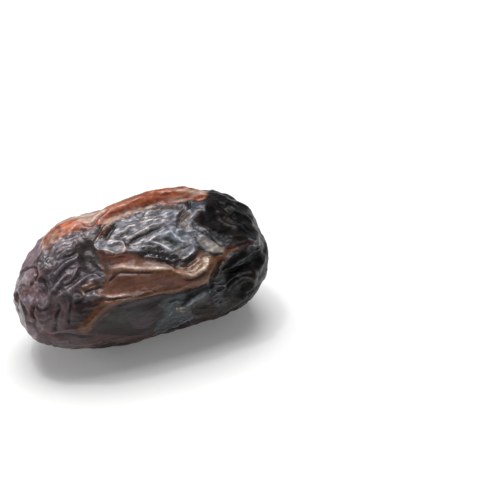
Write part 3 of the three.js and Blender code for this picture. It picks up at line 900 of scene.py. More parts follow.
# %% Folds of the silver skin
NEAR_FOLDS += [
    # silver wrinkles, from the left tip to the cross crease
    (0.45, 0.3, 0.3, [(117.4, 220), (110.7, 225.3), (104.9, 230.3), (100, 237), (95.8, 243),
                      (95.2, 246.5), (99.1, 249.9)]),
    (-0.5, 0.4, 0.35, [(116.5, 223.5), (111.5, 230), (107.5, 236), (104.5, 241)]),
    (0.3, 0.25, 0.3, [(106.6, 245.2), (113.2, 242.7), (118.2, 241.9), (122.3, 243.3), (124.4, 247.5)]),
    (-0.45, 0.2, 0.25, [(120.5, 236.5), (123.5, 240), (126, 244), (128, 249)]),
    (-0.4, 0.25, 0.3, [(116.5, 240), (120.5, 236.5), (124.5, 233.2), (130.5, 232.3), (137, 231.4)]),
    (-0.55, 0.3, 0.35, [(128.1, 244.2), (134.8, 239.2), (141.4, 235.8), (148, 234.1), (153, 230.3),
                        (158.8, 228.3), (163.5, 226)]),
    (0.35, 0.3, 0.3, [(131, 237.5), (139.8, 232.2), (146.4, 229.4), (152, 225.4), (158.8, 225),
                      (164.5, 221.8), (167.8, 220)]),
    (-0.4, 0.25, 0.3, [(134.8, 213.8), (138.9, 216.2), (144.7, 216.2), (151.4, 214.6), (158, 212.7),
                       (165, 207)]),
    (0.3, 0.25, 0.25, [(134.5, 211.7), (141, 213), (147, 213.8), (152, 212), (160.5, 209.8),
                       (166, 205.5)]),
    (-0.3, 0.25, 0.25, [(123.2, 222), (131.5, 221.2), (138.1, 218.8), (145, 219.5), (152, 218.3)]),
    (0.35, 0.3, 0.3, [(122.5, 227), (133.1, 226.8), (141.4, 222.7), (149.7, 221.2), (156.5, 220.8),
                      (163, 217.5)]),
    (0.5, 0.3, 0.3, [(146.5, 242.5), (153, 238.3), (158.8, 235.8), (164.6, 235), (169.6, 232.5),
                     (172.9, 235), (177, 239), (181.2, 241.6), (187.8, 242.6)]),
    (-0.4, 0.4, 0.5, [(163.5, 240.5), (169, 239.5), (175, 243), (181, 247)]),
    (0.35, 0.3, 0.3, [(148, 243.5), (153, 243.2), (158.8, 243.7), (164.6, 247), (169.6, 249.4),
                      (174.5, 251)]),
    (-0.25, 0.3, 0.3, [(136, 252.3), (148, 252.3), (158, 253.2), (168, 255.6), (176.2, 258)]),
    (0.3, 0.25, 0.3, [(128.5, 251), (136.4, 250.6), (143, 249.9), (149.4, 248.6)]),
    (0.25, 0.2, 0.2, [(146, 256.6), (156.3, 257.8), (164.6, 260), (171.3, 261.8)]),
    (0.45, 0.3, 0.35, [(178.5, 258.8), (185.4, 257.8), (190.5, 253.5), (193, 246.8), (190, 242)]),
    # the cross crease, the crests beside it and the flap that runs down to the blister
    (-0.6, 0.16, 0.2, [(188.7, 200), (189, 206.6), (183.4, 212.4), (178.3, 220.7), (177.2, 228.1)]),
    (0.3, 0.3, 0.25, [(184.5, 204), (182.8, 209), (177.5, 214.5), (174, 222)]),
    (0.25, 0.4, 0.25, [(205.5, 208.8), (197, 212), (190.6, 218.5), (188, 225), (190, 231)]),
    (-0.32, 0.15, 0.15, [(189.9, 233), (195.8, 240), (198.7, 244.8), (200.6, 248.7), (206.3, 251.5),
                        (215, 253.9), (221.7, 253.5)]),
    (-0.4, 0.15, 0.15, [(190.5, 221.7), (193.8, 226.5), (198.7, 230.4), (203.5, 233.3), (209.2, 238.1),
                        (216, 242.9), (222.7, 247.7)]),
    (0.3, 0.9, 0.9, [(196, 234), (202, 240), (208, 246), (215, 250)]),
    (0.3, 0.3, 0.3, [(200, 226.5), (208, 235.6), (214.8, 240.8), (222.2, 244.2), (230.5, 245.2)]),
]
print("folds so far:", len(NEAR_FOLDS))

# %% [markdown]
# The tip end is soft and its folds are rounded, so their widths are larger. Those of the belly are low: the
# skin is tight there, and only the gloss shows them.

# %% Folds of the tip end and the belly
NEAR_FOLDS += [
    # soft folds of the dark tip end
    (0.45, 0.35, 0.3, [(214.8, 280), (217.5, 271.3), (224.7, 262.2), (233, 254.9), (240, 251.2)]),
    (0.45, 0.4, 0.35, [(222.2, 290.4), (228, 282.9), (235.5, 277.1), (243.8, 273.6), (252, 271.9)]),
    (0.35, 0.3, 0.3, [(222, 274.5), (228, 268.5), (236, 264.5), (245, 261.5)]),
    (0.4, 0.3, 0.3, [(235.5, 279.5), (243.8, 277.4), (250.8, 278.4), (253.5, 283), (250, 288.5),
                     (244, 293)]),
    (-0.5, 0.3, 0.3, [(216, 291.5), (223, 287.9), (231, 281.5), (240, 276)]),
    (-0.55, 0.35, 0.4, [(239.6, 291.2), (245, 286.6), (248.8, 281.6)]),
    (-0.45, 0.5, 0.4, [(211, 288), (213.5, 277), (218.9, 266), (224.7, 256.8)]),
    (0.35, 0.2, 0.22, [(246.5, 238.5), (252.9, 241.2), (259, 240.8)]),
    (0.3, 0.2, 0.2, [(247, 245.4), (254, 245.2), (260.5, 244.6)]),
    (-0.3, 0.3, 0.3, [(224.7, 249.3), (233.8, 247.8), (239.6, 244.5), (248, 241.8)]),
    (0.3, 0.3, 0.3, [(228, 268), (236, 262), (245, 257), (255, 250.5), (261, 247.5)]),
    (-0.4, 0.2, 0.25, [(221, 272.5), (228, 271), (235, 270), (240, 266), (250, 262)]),
    (0.35, 0.25, 0.25, [(226, 292), (231, 284.5), (238, 279.5), (242, 277.5)]),
    (-0.35, 0.2, 0.25, [(236, 284), (242, 281), (247, 279.5)]),
    (0.15, 0.3, 0.3, [(212, 206), (218, 212), (221, 220), (229, 226), (240, 229)]),
    (0.3, 0.3, 0.3, [(228, 205), (236, 212), (246, 217), (254, 226)]),
    (-0.35, 0.25, 0.3, [(214, 200), (224, 208), (233, 217), (243, 224), (252, 232)]),
    # low folds of the belly
    (0.3, 0.25, 0.3, [(165, 311), (170, 304.5), (176, 301), (181, 303.5)]),
    (0.22, 0.3, 0.3, [(160, 323), (166, 316.5), (172, 311), (175, 305)]),
    (0.2, 0.25, 0.25, [(176, 324), (184, 318), (192, 313.5), (200, 310)]),
    (-0.2, 0.25, 0.4, [(143, 327), (152, 321), (160, 315.5), (165, 310), (168, 304.5)]),
    (0.18, 0.5, 0.5, [(120, 330), (134, 326.5), (146, 324), (156, 320)]),
    (-0.15, 0.4, 0.4, [(100, 333), (115, 331), (130, 331.5), (145, 330)]),
    (0.15, 0.6, 0.6, [(112, 318), (124, 315), (138, 313.5), (150, 309)]),
    (-0.3, 0.2, 0.3, [(196, 309), (204, 307.5), (212, 309), (222, 306)]),
    (0.5, 0.4, 0.6, [(184.9, 307), (189.9, 301.2), (194, 297.2), (200.7, 294.5), (206.5, 291.2),
                     (212, 287)]),
    (-0.3, 0.5, 0.3, [(181.6, 306.1), (186.8, 298.7), (193, 291.8), (201, 288.8), (208, 284.5)]),
    (0.35, 0.5, 0.3, [(173, 329), (179.9, 324.6), (186.6, 320.4), (196.5, 315.6), (206, 314.2),
                      (218, 312.5)]),
    (-0.35, 0.25, 0.5, [(176, 330.5), (186, 322.8), (197, 317.8), (210, 316)]),
]
print("folds so far:", len(NEAR_FOLDS))

# %% [markdown]
# The lobes of the stem end are swellings, wide and low, and the narrow creases between them give them their
# outline. Rows with large half widths are such swellings.

# %% Creases of the stem end
NEAR_FOLDS += [
    # creases between the lobes of the stem end
    (-0.5, 0.22, 0.22, [(54.6, 302.8), (57.8, 304.1), (58.7, 309.2), (56.1, 316.2), (56.1, 322),
                        (55.3, 327.1), (52.1, 331.2)]),
    (-0.5, 0.22, 0.22, [(67, 294), (69.9, 299.6), (70.8, 306), (68.9, 312.4), (68.9, 318.8),
                        (68.2, 326)]),
    (0.25, 0.3, 0.25, [(21.5, 294.5), (24.7, 302), (29.1, 309.8), (31.5, 305.6), (33.6, 299.6),
                       (34.8, 296.5)]),
    (-0.25, 0.25, 0.3, [(19.5, 296), (23.3, 304.8), (28, 313), (31.5, 314)]),
    (0.25, 0.25, 0.3, [(37.4, 297), (38, 302.2), (41, 307), (44.2, 307), (47.2, 302.4), (49, 297)]),
    (-0.3, 0.2, 0.2, [(35.8, 301), (38, 308.5), (43, 310.2), (48.5, 306.5), (52.4, 300)]),
    (-0.45, 0.22, 0.25, [(35.5, 302.8), (33.4, 309.2), (32.3, 314.3), (35.5, 319.2), (34.4, 323.5),
                         (38, 328)]),
    (-0.3, 0.2, 0.2, [(38.1, 320), (45.7, 320.9), (50.8, 318.3), (55.5, 317.5)]),
    (-0.4, 0.25, 0.25, [(18.3, 279.5), (22.8, 270.8), (28.5, 266.9), (35, 267), (36.6, 273),
                        (34.4, 279.4), (30.6, 285.5), (29.1, 288)]),
    (-0.3, 0.2, 0.25, [(36.7, 263.5), (40.1, 260.8), (43.5, 263.8), (41, 268.8), (37.4, 270.5)]),
    (-0.45, 0.8, 0.8, [(40, 275), (44, 281), (48, 289)]),
    (0.3, 0.25, 0.25, [(29.8, 287), (31.5, 281.5), (36.7, 283.5), (39, 289), (36, 294)]),
    (-0.3, 0.25, 0.25, [(15.6, 289.5), (21.2, 284.6), (26.4, 286.2), (30, 291)]),
    (0.3, 0.4, 0.5, [(17.4, 306), (21.8, 314), (27.4, 323), (33.2, 331), (40, 336.6), (48.8, 341)]),
    (-0.3, 0.25, 0.3, [(27, 320), (32, 322.6), (37, 327.5)]),
    (0.75, 2.7, 2.7, [(21, 315), (26, 323), (33, 331), (42, 338), (52, 342)]),
    (0.3, 1.1, 1.1, [(45, 308), (46, 316), (45, 328)]),
    (0.3, 0.8, 0.8, [(63, 300), (64, 311), (62, 324)]),
    (0.35, 0.7, 0.7, [(42, 294), (43.5, 299), (44, 304)]),
    (0.35, 0.7, 0.7, [(24.5, 296), (27.5, 301), (29.5, 306)]),
    (0.3, 0.8, 0.9, [(26, 272), (27.5, 278), (27, 283)]),
    (0.3, 0.3, 0.4, [(50.8, 333.6), (58, 331), (67.4, 329.4), (76, 328.2), (83, 326)]),
    (-0.4, 0.3, 0.6, [(52, 336.5), (61, 334.6), (71.2, 335.4), (80, 337), (95, 338)]),
    (0.25, 0.25, 0.3, [(51, 340.6), (56, 341.4), (61, 340.2), (65.5, 340.4), (68.5, 343.2),
                       (67.4, 345.2)]),
    (-0.4, 0.25, 0.3, [(72.9, 301.4), (78, 302), (83.2, 298.4), (84.6, 294.8)]),
    (0.25, 0.3, 0.3, [(73, 296), (77, 294), (81, 296), (79, 299.4)]),
]
print("folds so far:", len(NEAR_FOLDS))

# %% [markdown]
# The rest of the fruit is out of the photograph's sight. Most of its folds are echoes of the near ones, and
# these few are drawn on it: wrinkles behind the crown, furrows round the stem end that branch as they come
# from the stalk, soft folds round the tip end and low ones where the fruit lies.

# %% Folds of the hidden sides
FAR_FOLDS = [
    # wrinkles of the crown behind its rust roll
    (-0.2, 0.3, 0.4, [(-18, -30), (-12, -36), (-5, -33), (2, -36), (9, -31)]),
    (0.2, 0.4, 0.5, [(-15, -25), (-8, -30), (0, -27), (7, -30), (13, -24)]),
    (-0.2, 0.3, 0.3, [(-3, -14), (1, -22), (0, -31)]),
    (0.18, 0.4, 0.4, [(4, -12), (8, -20), (9, -30)]),
    (-0.2, 0.3, 0.4, [(12, -10), (13, -20), (11, -28)]),
    (0.18, 0.4, 0.4, [(-9, -20), (-11, -28), (-10, -38)]),
    # furrows and lobes round the stem end
    (-0.4, 0.2, 0.2, [(-23, -44), (-20.5, -54), (-17.5, -52), (-15, -60)]),
    (-0.35, 0.2, 0.2, [(-23, 140), (-19.5, 146), (-16, 140), (-12, 146), (-8, 141)]),
    (-0.25, 0.2, 0.2, [(-16, 140), (-14, 152), (-11, 162), (-7, 168)]),
    (-0.35, 0.2, 0.2, [(-23, -170), (-19, -172), (-15, -166), (-11, -171), (-7, -166)]),
    (-0.25, 0.2, 0.2, [(-19, -172), (-17, 176), (-15, 164), (-14, 152)]),
    (-0.25, 0.2, 0.2, [(-15, -166), (-13, -154), (-10, -148), (-7, -140)]),
    # folds of the tip end
    (-0.5, 0.4, 0.4, [(14, -60), (18, -66), (21, -84)]),
    (0.5, 0.4, 0.4, [(14, -84), (17, -94), (20, -100)]),
    (-0.5, 0.4, 0.4, [(12, -82), (14.5, -94), (14, -108)]),
    (0.45, 0.4, 0.4, [(18.5, -32), (20, -44), (20, -60)]),
    (-0.45, 0.4, 0.4, [(16, 124), (19.5, 116), (22.5, 112)]),
    (0.4, 0.4, 0.4, [(15, 140), (19, 134), (22, 138)]),
    (0.45, 0.4, 0.35, [(15, -44), (18, -56), (20.5, -78), (21.5, -106)]),
    (0.4, 0.35, 0.4, [(16, -152), (19, -142), (21.5, -122)]),
    (-0.4, 0.3, 0.35, [(15, -164), (18.5, -158), (21, -142), (22, -120)]),
    (0.4, 0.35, 0.35, [(14, 172), (17.5, 167), (20.5, 152), (21.5, 128)]),
    (-0.4, 0.3, 0.35, [(13, 160), (17, 152), (20, 138), (21.3, 112)]),
    # low folds of the far side and the underside
    (-0.4, 0.4, 0.5, [(-10, -124), (-3, -122), (5, -128), (12, -126)]),
    (0.4, 0.4, 0.4, [(-14, -130), (-6, -133), (3, -138), (10, -136)]),
    (0.35, 0.5, 0.4, [(-8, 132), (0, 128), (8, 130), (14, 126)]),
    (-0.22, 0.3, 0.4, [(-14, 142), (-9, 136), (-3, 140), (3, 134), (8, 138), (13, 133)]),
    (-0.2, 0.3, 0.4, [(-9, 164), (-3, 158), (3, 163), (9, 157)]),
    (-0.2, 0.3, 0.4, [(-8, -164), (-1, -170), (6, -163), (12, -168)]),
]
print("folds:", len(NEAR_FOLDS), "near and", len(FAR_FOLDS), "hidden")

# %% [markdown]
# A route becomes a smooth line of points on the skin. Every place of the skin near it rises or sinks by its
# distance from the line, and the ends fade out over a millimetre, so a bead keeps only a part of its rise.
# The fold's own section is a sharp crest or crease on a wide soft skirt.

# %% A fold along a line
LINE_STEP = 0.12
END_FADE = 1.1
FOLD_WIDTH = 0.8
REACH_IN_WIDTHS = 4.5
ROUTE_WANDER = 0.3
CREST_POWER = 1.4
SKIRT_WIDTH = 2.3


def smooth_line(corners):
    """A smooth line through a few places, as points a small step apart, laid on the guide."""
    knots = [2 * corners[0] - corners[1], *corners, 2 * corners[-1] - corners[-2]]
    line = []
    for before, start, end, after in zip(knots, knots[1:], knots[2:], knots[3:]):
        count = max(2, round((end - start).length / (LINE_STEP * MM)))
        for step in range(count):
            t = step / count
            bend = 2 * start + (end - before) * t + (2 * before - 5 * start + 4 * end - after) * t ** 2
            line.append((bend + (3 * start - before - 3 * end + after) * t ** 3) / 2)
    laid = [guide_tree.find_nearest(point) for point in line + [corners[-1]]]
    return np.array([hit[0] for hit in laid]), np.array([hit[1] for hit in laid])


def fold_profile(widths, skirt):
    """Height of a fold by distance in half widths, from 1 on the line to 0. The skirt is its soft share."""
    return (1 - skirt) * np.exp(-widths ** CREST_POWER) + skirt * np.exp(-(widths / SKIRT_WIDTH) ** 2)


def fold_share(line, outward, left, right, skirt):
    """The skin places near a line and how strongly each feels the fold, from 0 to 1."""
    reach = REACH_IN_WIDTHS * max(left, right) * MM
    close = np.all((skin_places > line.min(0) - reach) & (skin_places < line.max(0) + reach), axis=1)
    chosen = np.flatnonzero(close)
    apart = skin_places[chosen, None, :] - line[None, :, :]
    distance = np.sqrt((apart ** 2).sum(2))
    nearest = distance.argmin(1)
    rows = np.arange(len(chosen))
    leftward = np.cross(outward, np.gradient(line, axis=0))
    on_left = (apart[rows, nearest] * leftward[nearest]).sum(1) > 0
    width = np.where(on_left, left, right) * MM * FOLD_WIDTH
    from_end = np.minimum(nearest, len(line) - 1 - nearest) * LINE_STEP
    fade = smooth(-0.3 * END_FADE, END_FADE, from_end)
    apart_in_widths = distance[rows, nearest] / width * (1 + ROUTE_WANDER * edge_noise[chosen])
    return chosen, fade * fold_profile(apart_in_widths, skirt)


print("a bead's line has", len(smooth_line(seen(*BEADS[0]))[0]), "points")

# %% [markdown]
# Crests don't pile up where they meet: the highest one wins, and so does the deepest crease. Wide, low
# rises are kept apart and added, as swellings under the skin. The near folds are echoed on the hidden side,
# turned where they lie along the middle and mirrored at the ends. Only the shortest and those at the very
# crown aren't, because their twins would fall on the near side again.

# %% Raise the folds
SWELL_WIDTH = 0.65
CREST_SKIRT = 0.35
CREASE_SKIRT = 0.2
CROWN_AROUND = 8
MIDDLE_ALONG = 13
SHORTEST_ECHO = 3.0
RISE_WANDER = 0.35

all_folds = [(rise, left, right, seen(*route)) for rise, left, right, route in NEAR_FOLDS]
for rise, left, right, corners in list(all_folds):
    middle_along, middle_around = (spread.mean() for spread in unroll(corners)[:2])
    long_enough = (corners[-1] - corners[0]).length > SHORTEST_ECHO * MM
    if middle_around > CROWN_AROUND and long_enough:
        all_folds.append((rise, left, right, echo(corners, abs(middle_along) < MIDDLE_ALONG)))
all_folds += [(rise, left, right, hidden(*route)) for rise, left, right, route in FAR_FOLDS]

crests, creases, swells = (np.zeros(len(skin_places)) for _ in range(3))
for rise, left, right, corners in all_folds:
    line, outward = smooth_line(corners)
    chosen, share = fold_share(line, outward, left, right, CREST_SKIRT if rise > 0 else CREASE_SKIRT)
    if min(left, right) > SWELL_WIDTH:
        swells[chosen] += rise * share
    elif rise > 0:
        crests[chosen] = np.maximum(crests[chosen], rise * share)
    else:
        creases[chosen] = np.minimum(creases[chosen], rise * share)
crests *= 1 + RISE_WANDER * (noise_field(1.6, 71) + 0.6 * noise_field(0.7, 72) - 0.25)
print("crests to", round(crests.max(), 2), "mm, creases to", round(creases.min(), 2), "mm")

# %% [markdown]
# Between the drawn folds the skin is full of finer ones that nobody would draw. They form as real ones do:
# a stiff skin on a shrinking pulp buckles at a spacing of its own. Each vertex needs to know its neighbours
# for that. Softening gives a field's value at a vertex a share of its neighbours' values, and more of the
# neighbours along the fruit than of those round it.

# %% Neighbours on the skin
KEPT_SHARE = 0.2


def neighbours_of(piece):
    """For each vertex its neighbours along the mesh edges, padded with the vertex itself."""
    count = len(piece.data.vertices)
    pairs = edge_ends(piece)
    both = np.concatenate([pairs, pairs[:, ::-1]])
    both = both[np.argsort(both[:, 0], kind="stable")]
    starts = np.searchsorted(both[:, 0], np.arange(count))
    slots = np.arange(len(both)) - starts[both[:, 0]]
    table = np.repeat(np.arange(count)[:, None], slots.max() + 1, axis=1)
    table[both[:, 0], slots] = both[:, 1]
    return table


near = neighbours_of(skin)
steps = skin_places[near] - skin_places[:, None, :]
lengths = np.linalg.norm(steps, axis=2) + 1e-9
lengthwise = np.array([1.0, 0, 0]) - skin_outward * skin_outward[:, :1]
lengthwise /= np.linalg.norm(lengthwise, axis=1)[:, None] + 1e-6
slant = np.abs((steps * lengthwise[:, None, :]).sum(2)) / lengths


def soften_weights(stretch):
    """How much each neighbour counts when a field is softened, more along the fruit than round it."""
    weight = np.where(lengths > 1e-8, 1 + (stretch - 1) * slant ** 2, 0) / (lengths / MM) ** 2
    return weight / weight.sum(1)[:, None]


def soften(field, weights, times):
    for _ in range(times):
        field = KEPT_SHARE * field + (1 - KEPT_SHARE) * (weights * field[near]).sum(1)
    return field


print("up to", near.shape[1], "neighbours for each vertex")

# %% [markdown]
# Random heights are softened over a short and a long distance, and the difference is kept and clipped, again
# and again, until ridges appear. They are softened more along the fruit than round it, so they run
# lengthwise, and the drawn folds steer them. It is done three times, for fine and broad ridges and for the
# lobes of the stem end.

# %% Let the skin buckle
SEED = 11
AVERAGE_CELL = 0.21
SPACING_IN_SPREADS = 5.7
SOFTENINGS_PER_CELL = 2.5
LONG_TO_SHORT = 1.7
RIDGE_GAIN = 1.6
RIDGE_LIMIT = 1.5
RIDGE_SCALE = 1.2
STEER_HEIGHT = 0.4


def buckle(steer, spacing, stretch, rounds, pull):
    """Ridges from -1 to 1, about that many millimetres apart, steered by a field of the same size."""
    spread = spacing / SPACING_IN_SPREADS / AVERAGE_CELL
    short = max(2, round(spread ** 2 * SOFTENINGS_PER_CELL))
    long = round(short * LONG_TO_SHORT)
    weights = soften_weights(stretch)
    field = np.random.default_rng(SEED).uniform(-1, 1, len(skin_places))
    for _ in range(rounds):
        close = soften(field, weights, short)
        field = close - soften(close, weights, long)
        field = np.clip(RIDGE_GAIN * field / field.std() + pull * steer, -RIDGE_LIMIT, RIDGE_LIMIT)
    return soften(field, weights, short) / RIDGE_SCALE


steer = crests / STEER_HEIGHT + creases / STEER_HEIGHT
fine = buckle(steer, spacing=1.5, stretch=3.5, rounds=8, pull=1.2)
broad = buckle(steer, spacing=3.0, stretch=2.5, rounds=8, pull=0.8)
lobes = buckle(steer, spacing=5.0, stretch=1.3, rounds=6, pull=0.5)
print("fine ridges", round(fine.std(), 2), "broad ridges", round(broad.std(), 2))

# %% [markdown]
# Both ends carry a scar. The stalk's is round, with a low rim, a pit and a woody dot in the middle, and the
# flower's is a small dark point at the tip. The skin is drawn in towards each in pleats, which are noise
# read on the direction from the scar, so that each one keeps its direction while it runs outwards.

# %% Scars of the stalk and the flower
END_REACH = 0.05
END_HEIGHT = 12.5 * MM
STALK_RADIUS = 1.15
RIM_RISE, PIT_DEPTH, DOT_RISE = 0.24, 0.4, 0.25
TIP_RADIUS = 0.5
POINT_RISE, MOAT_DEPTH = 0.3, 0.3
PLEATS_FREQUENCY = 1.9
PLEATS_TWIST = 0.09
PLEATS_WIDTH = 0.09
PLEATS_START = (1.2, 2.6)
PLEATS_END = (3.0, 8.0)
STALK_PLEATS, TIP_PLEATS = 0.25, 0.16


def around_end(side):
    """Distance in millimetres from the very end of the fruit on that side, and pleats drawn in to it."""
    end = guide_tree.find_nearest(Vector((side * END_REACH, 0, END_HEIGHT)))[0]
    apart = (skin_places - np.array(end)) / MM
    distance = np.linalg.norm(apart, axis=1)
    heading = apart[:, 1:] / (np.linalg.norm(apart[:, 1:], axis=1)[:, None] + 1e-6)
    rows = zip(heading * PLEATS_FREQUENCY, side + distance * PLEATS_TWIST)
    wave = [noise.noise(Vector((y, z, depth))) for (y, z), depth in rows]
    pleats = np.exp(-(np.array(wave) / PLEATS_WIDTH) ** 2)
    return distance, pleats * smooth(*PLEATS_START, distance) * (1 - smooth(*PLEATS_END, distance))


def ring(distance, radius, width):
    return np.exp(-((distance - radius) / width) ** 2)


from_stalk, stalk_pleats = around_end(-1)
from_tip, tip_pleats = around_end(1)
zones["scar"] = smooth(STALK_RADIUS * 1.25, STALK_RADIUS * 0.8, from_stalk)
zones["point"] = smooth(TIP_RADIUS * 2.2, TIP_RADIUS, from_tip)
end_relief = RIM_RISE * ring(from_stalk, 1.5 * STALK_RADIUS, 0.5) - PIT_DEPTH * zones["scar"]
end_relief += DOT_RISE * ring(from_stalk, 0, 0.5)
end_relief += POINT_RISE * ring(from_tip, 0, TIP_RADIUS) - MOAT_DEPTH * ring(from_tip, 3 * TIP_RADIUS, 0.6)
end_relief -= (0.25 + 0.75 * unseen) * (STALK_PLEATS * stalk_pleats + TIP_PLEATS * tip_pleats)
print("scars cover", int(zones["scar"].sum()), "and", int(zones["point"].sum()), "places of the skin")

# %% [markdown]
# How strong the ridges are depends on the place. Silver and shoulder skin is crumpled fine and deep, the
# stem end has rounded lobes, the tip has broad soft folds, and the blister and the taut skin of the belly
# are nearly smooth. Besides the buckled ridges there are sharp ones of three kinds, and a table tells how
# high each kind stands in each zone.

# %% How strong the ridges are


def blend(**weights):
    """A weighted sum of zones."""
    return sum(weight * zones[name] for name, weight in weights.items())


calm = np.clip(blend(amber=1, scar=1, taut=0.8, streak=1, rust=0.7, pale=0.6, black=0.3, hollow=0.8,
                     bare=0.7, flap=0.6, pearl=0.5), 0, 1)
crumple = np.clip(blend(silver=1, shoulder=0.7, tan=1, veil=1, flap=-1), 0, 1)
plain = np.clip(1 - crumple - calm - blend(mauve=1, crepe=1), 0, 1)
sunken = np.maximum(zones["hollow"], zones["dimple"])
fine_height = (0.05 + 0.05 * crumple - 0.02 * zones["mauve"]) * (1 - 0.85 * calm)
broad_height = (0.14 - 0.10 * zones["mauve"] - 0.03 * crumple) * (1 - 0.75 * calm)

large_ridges = sharp_ridges(2.0, 21, 1.8)
small_ridges = sharp_ridges(1.0, 22, 1.5)
long_ridges = sharp_ridges(1.3, 27, 3.4)
ridged = [
    # where, and the heights in millimetres of the large, the small and the long ridges there
    (zones["silver"], 0.05, 0.04, 0.10),
    (crumple - zones["silver"], 0.10, 0.08, 0),
    (zones["crepe"] * (1 - sunken), 0.05, 0.06, 0),
    (zones["black"], 0.08, 0.02, 0),
    (zones["bluish"], 0.06, 0.03, 0),
    (blend(knobbly=1, fleck=1, mottled=0.4, crackled=0.35), 0, 0.13, 0),
    (plain + blend(rust=0.6, mauve=0.6) * unseen, 0.05, 0.04, 0),
    (zones["glinting"], 0, 0.20, 0),
]
ridges = sum(where * (large * large_ridges + small * small_ridges + long * long_ridges)
             for where, large, small, long in ridged)
print("sharp ridges to", round(ridges.max(), 2), "mm")

# %% [markdown]
# Now all heights are added up. The near side is drawn in above the floor, most towards the tip and there by
# UNDERCUT millimetres, and on the hidden part of the stem end the mauve skin sinks between its lobes. Each
# place also moves a little uphill, which pinches the crests narrow. The result is pressed flat where the
# fruit lies and kept inside the body's own box.

# %% Shape the skin
UNDERCUT = 0.75
UNDERCUT_AROUND = 138
UNDERCUT_SPREAD = 24
LOBE_SEAM = 0.16
SILVER_CALM = 0.35
GLINTING_SINK = 0.07
PINCH = 0.16
BOX_MARGIN = 0.02 * MM

undercut = 0.35 * smooth(-20, -10, along) + 0.65 * smooth(-4, 8, along)
undercut *= np.exp(-((around - UNDERCUT_AROUND) / UNDERCUT_SPREAD) ** 2)
lobe_strength = smooth(-0.25, 0.25, noise_field(5.0, 24)) * unseen * smooth(2.5, 4.5, from_stalk)
between_lobes = np.exp(-(lobes / LOBE_SEAM) ** 2) * lobe_strength

relief = swells + (crests + creases) * (1 - SILVER_CALM * zones["silver"])
relief += fine_height * fine + broad_height * broad + ridges + end_relief
relief += 0.012 * noise_field(0.5, 5, 2.0) + 0.03 * noise_field(2.2, 6)
relief += zones["taut"] * (0.04 * noise_field(0.9, 25, 6.0) + 0.12 * noise_field(2.6, 26, 2.2))
relief -= zones["mauve"] * (0.03 * sharp_ridges(3.2, 23) ** 2 + 0.02 * small_ridges + 0.22 * between_lobes)
relief -= UNDERCUT * undercut + GLINTING_SINK * zones["glinting"]

rise_per_step = (relief[near] - relief[:, None]) / (lengths / MM)
slope = (rise_per_step[:, :, None] * steps / lengths[:, :, None]).mean(1) * 2
places = skin_places + (skin_outward * relief[:, None] + slope * PINCH) * MM
places[:, 2] = np.maximum(places[:, 2], cad_low.z)
box_low = np.array(cad_low) + [BOX_MARGIN, BOX_MARGIN, 0]
places = np.clip(places, box_low, np.array(cad_high) - BOX_MARGIN)
set_places(skin, places)
print("relief from", round(relief.min(), 2), "to", round(relief.max(), 2), "mm")
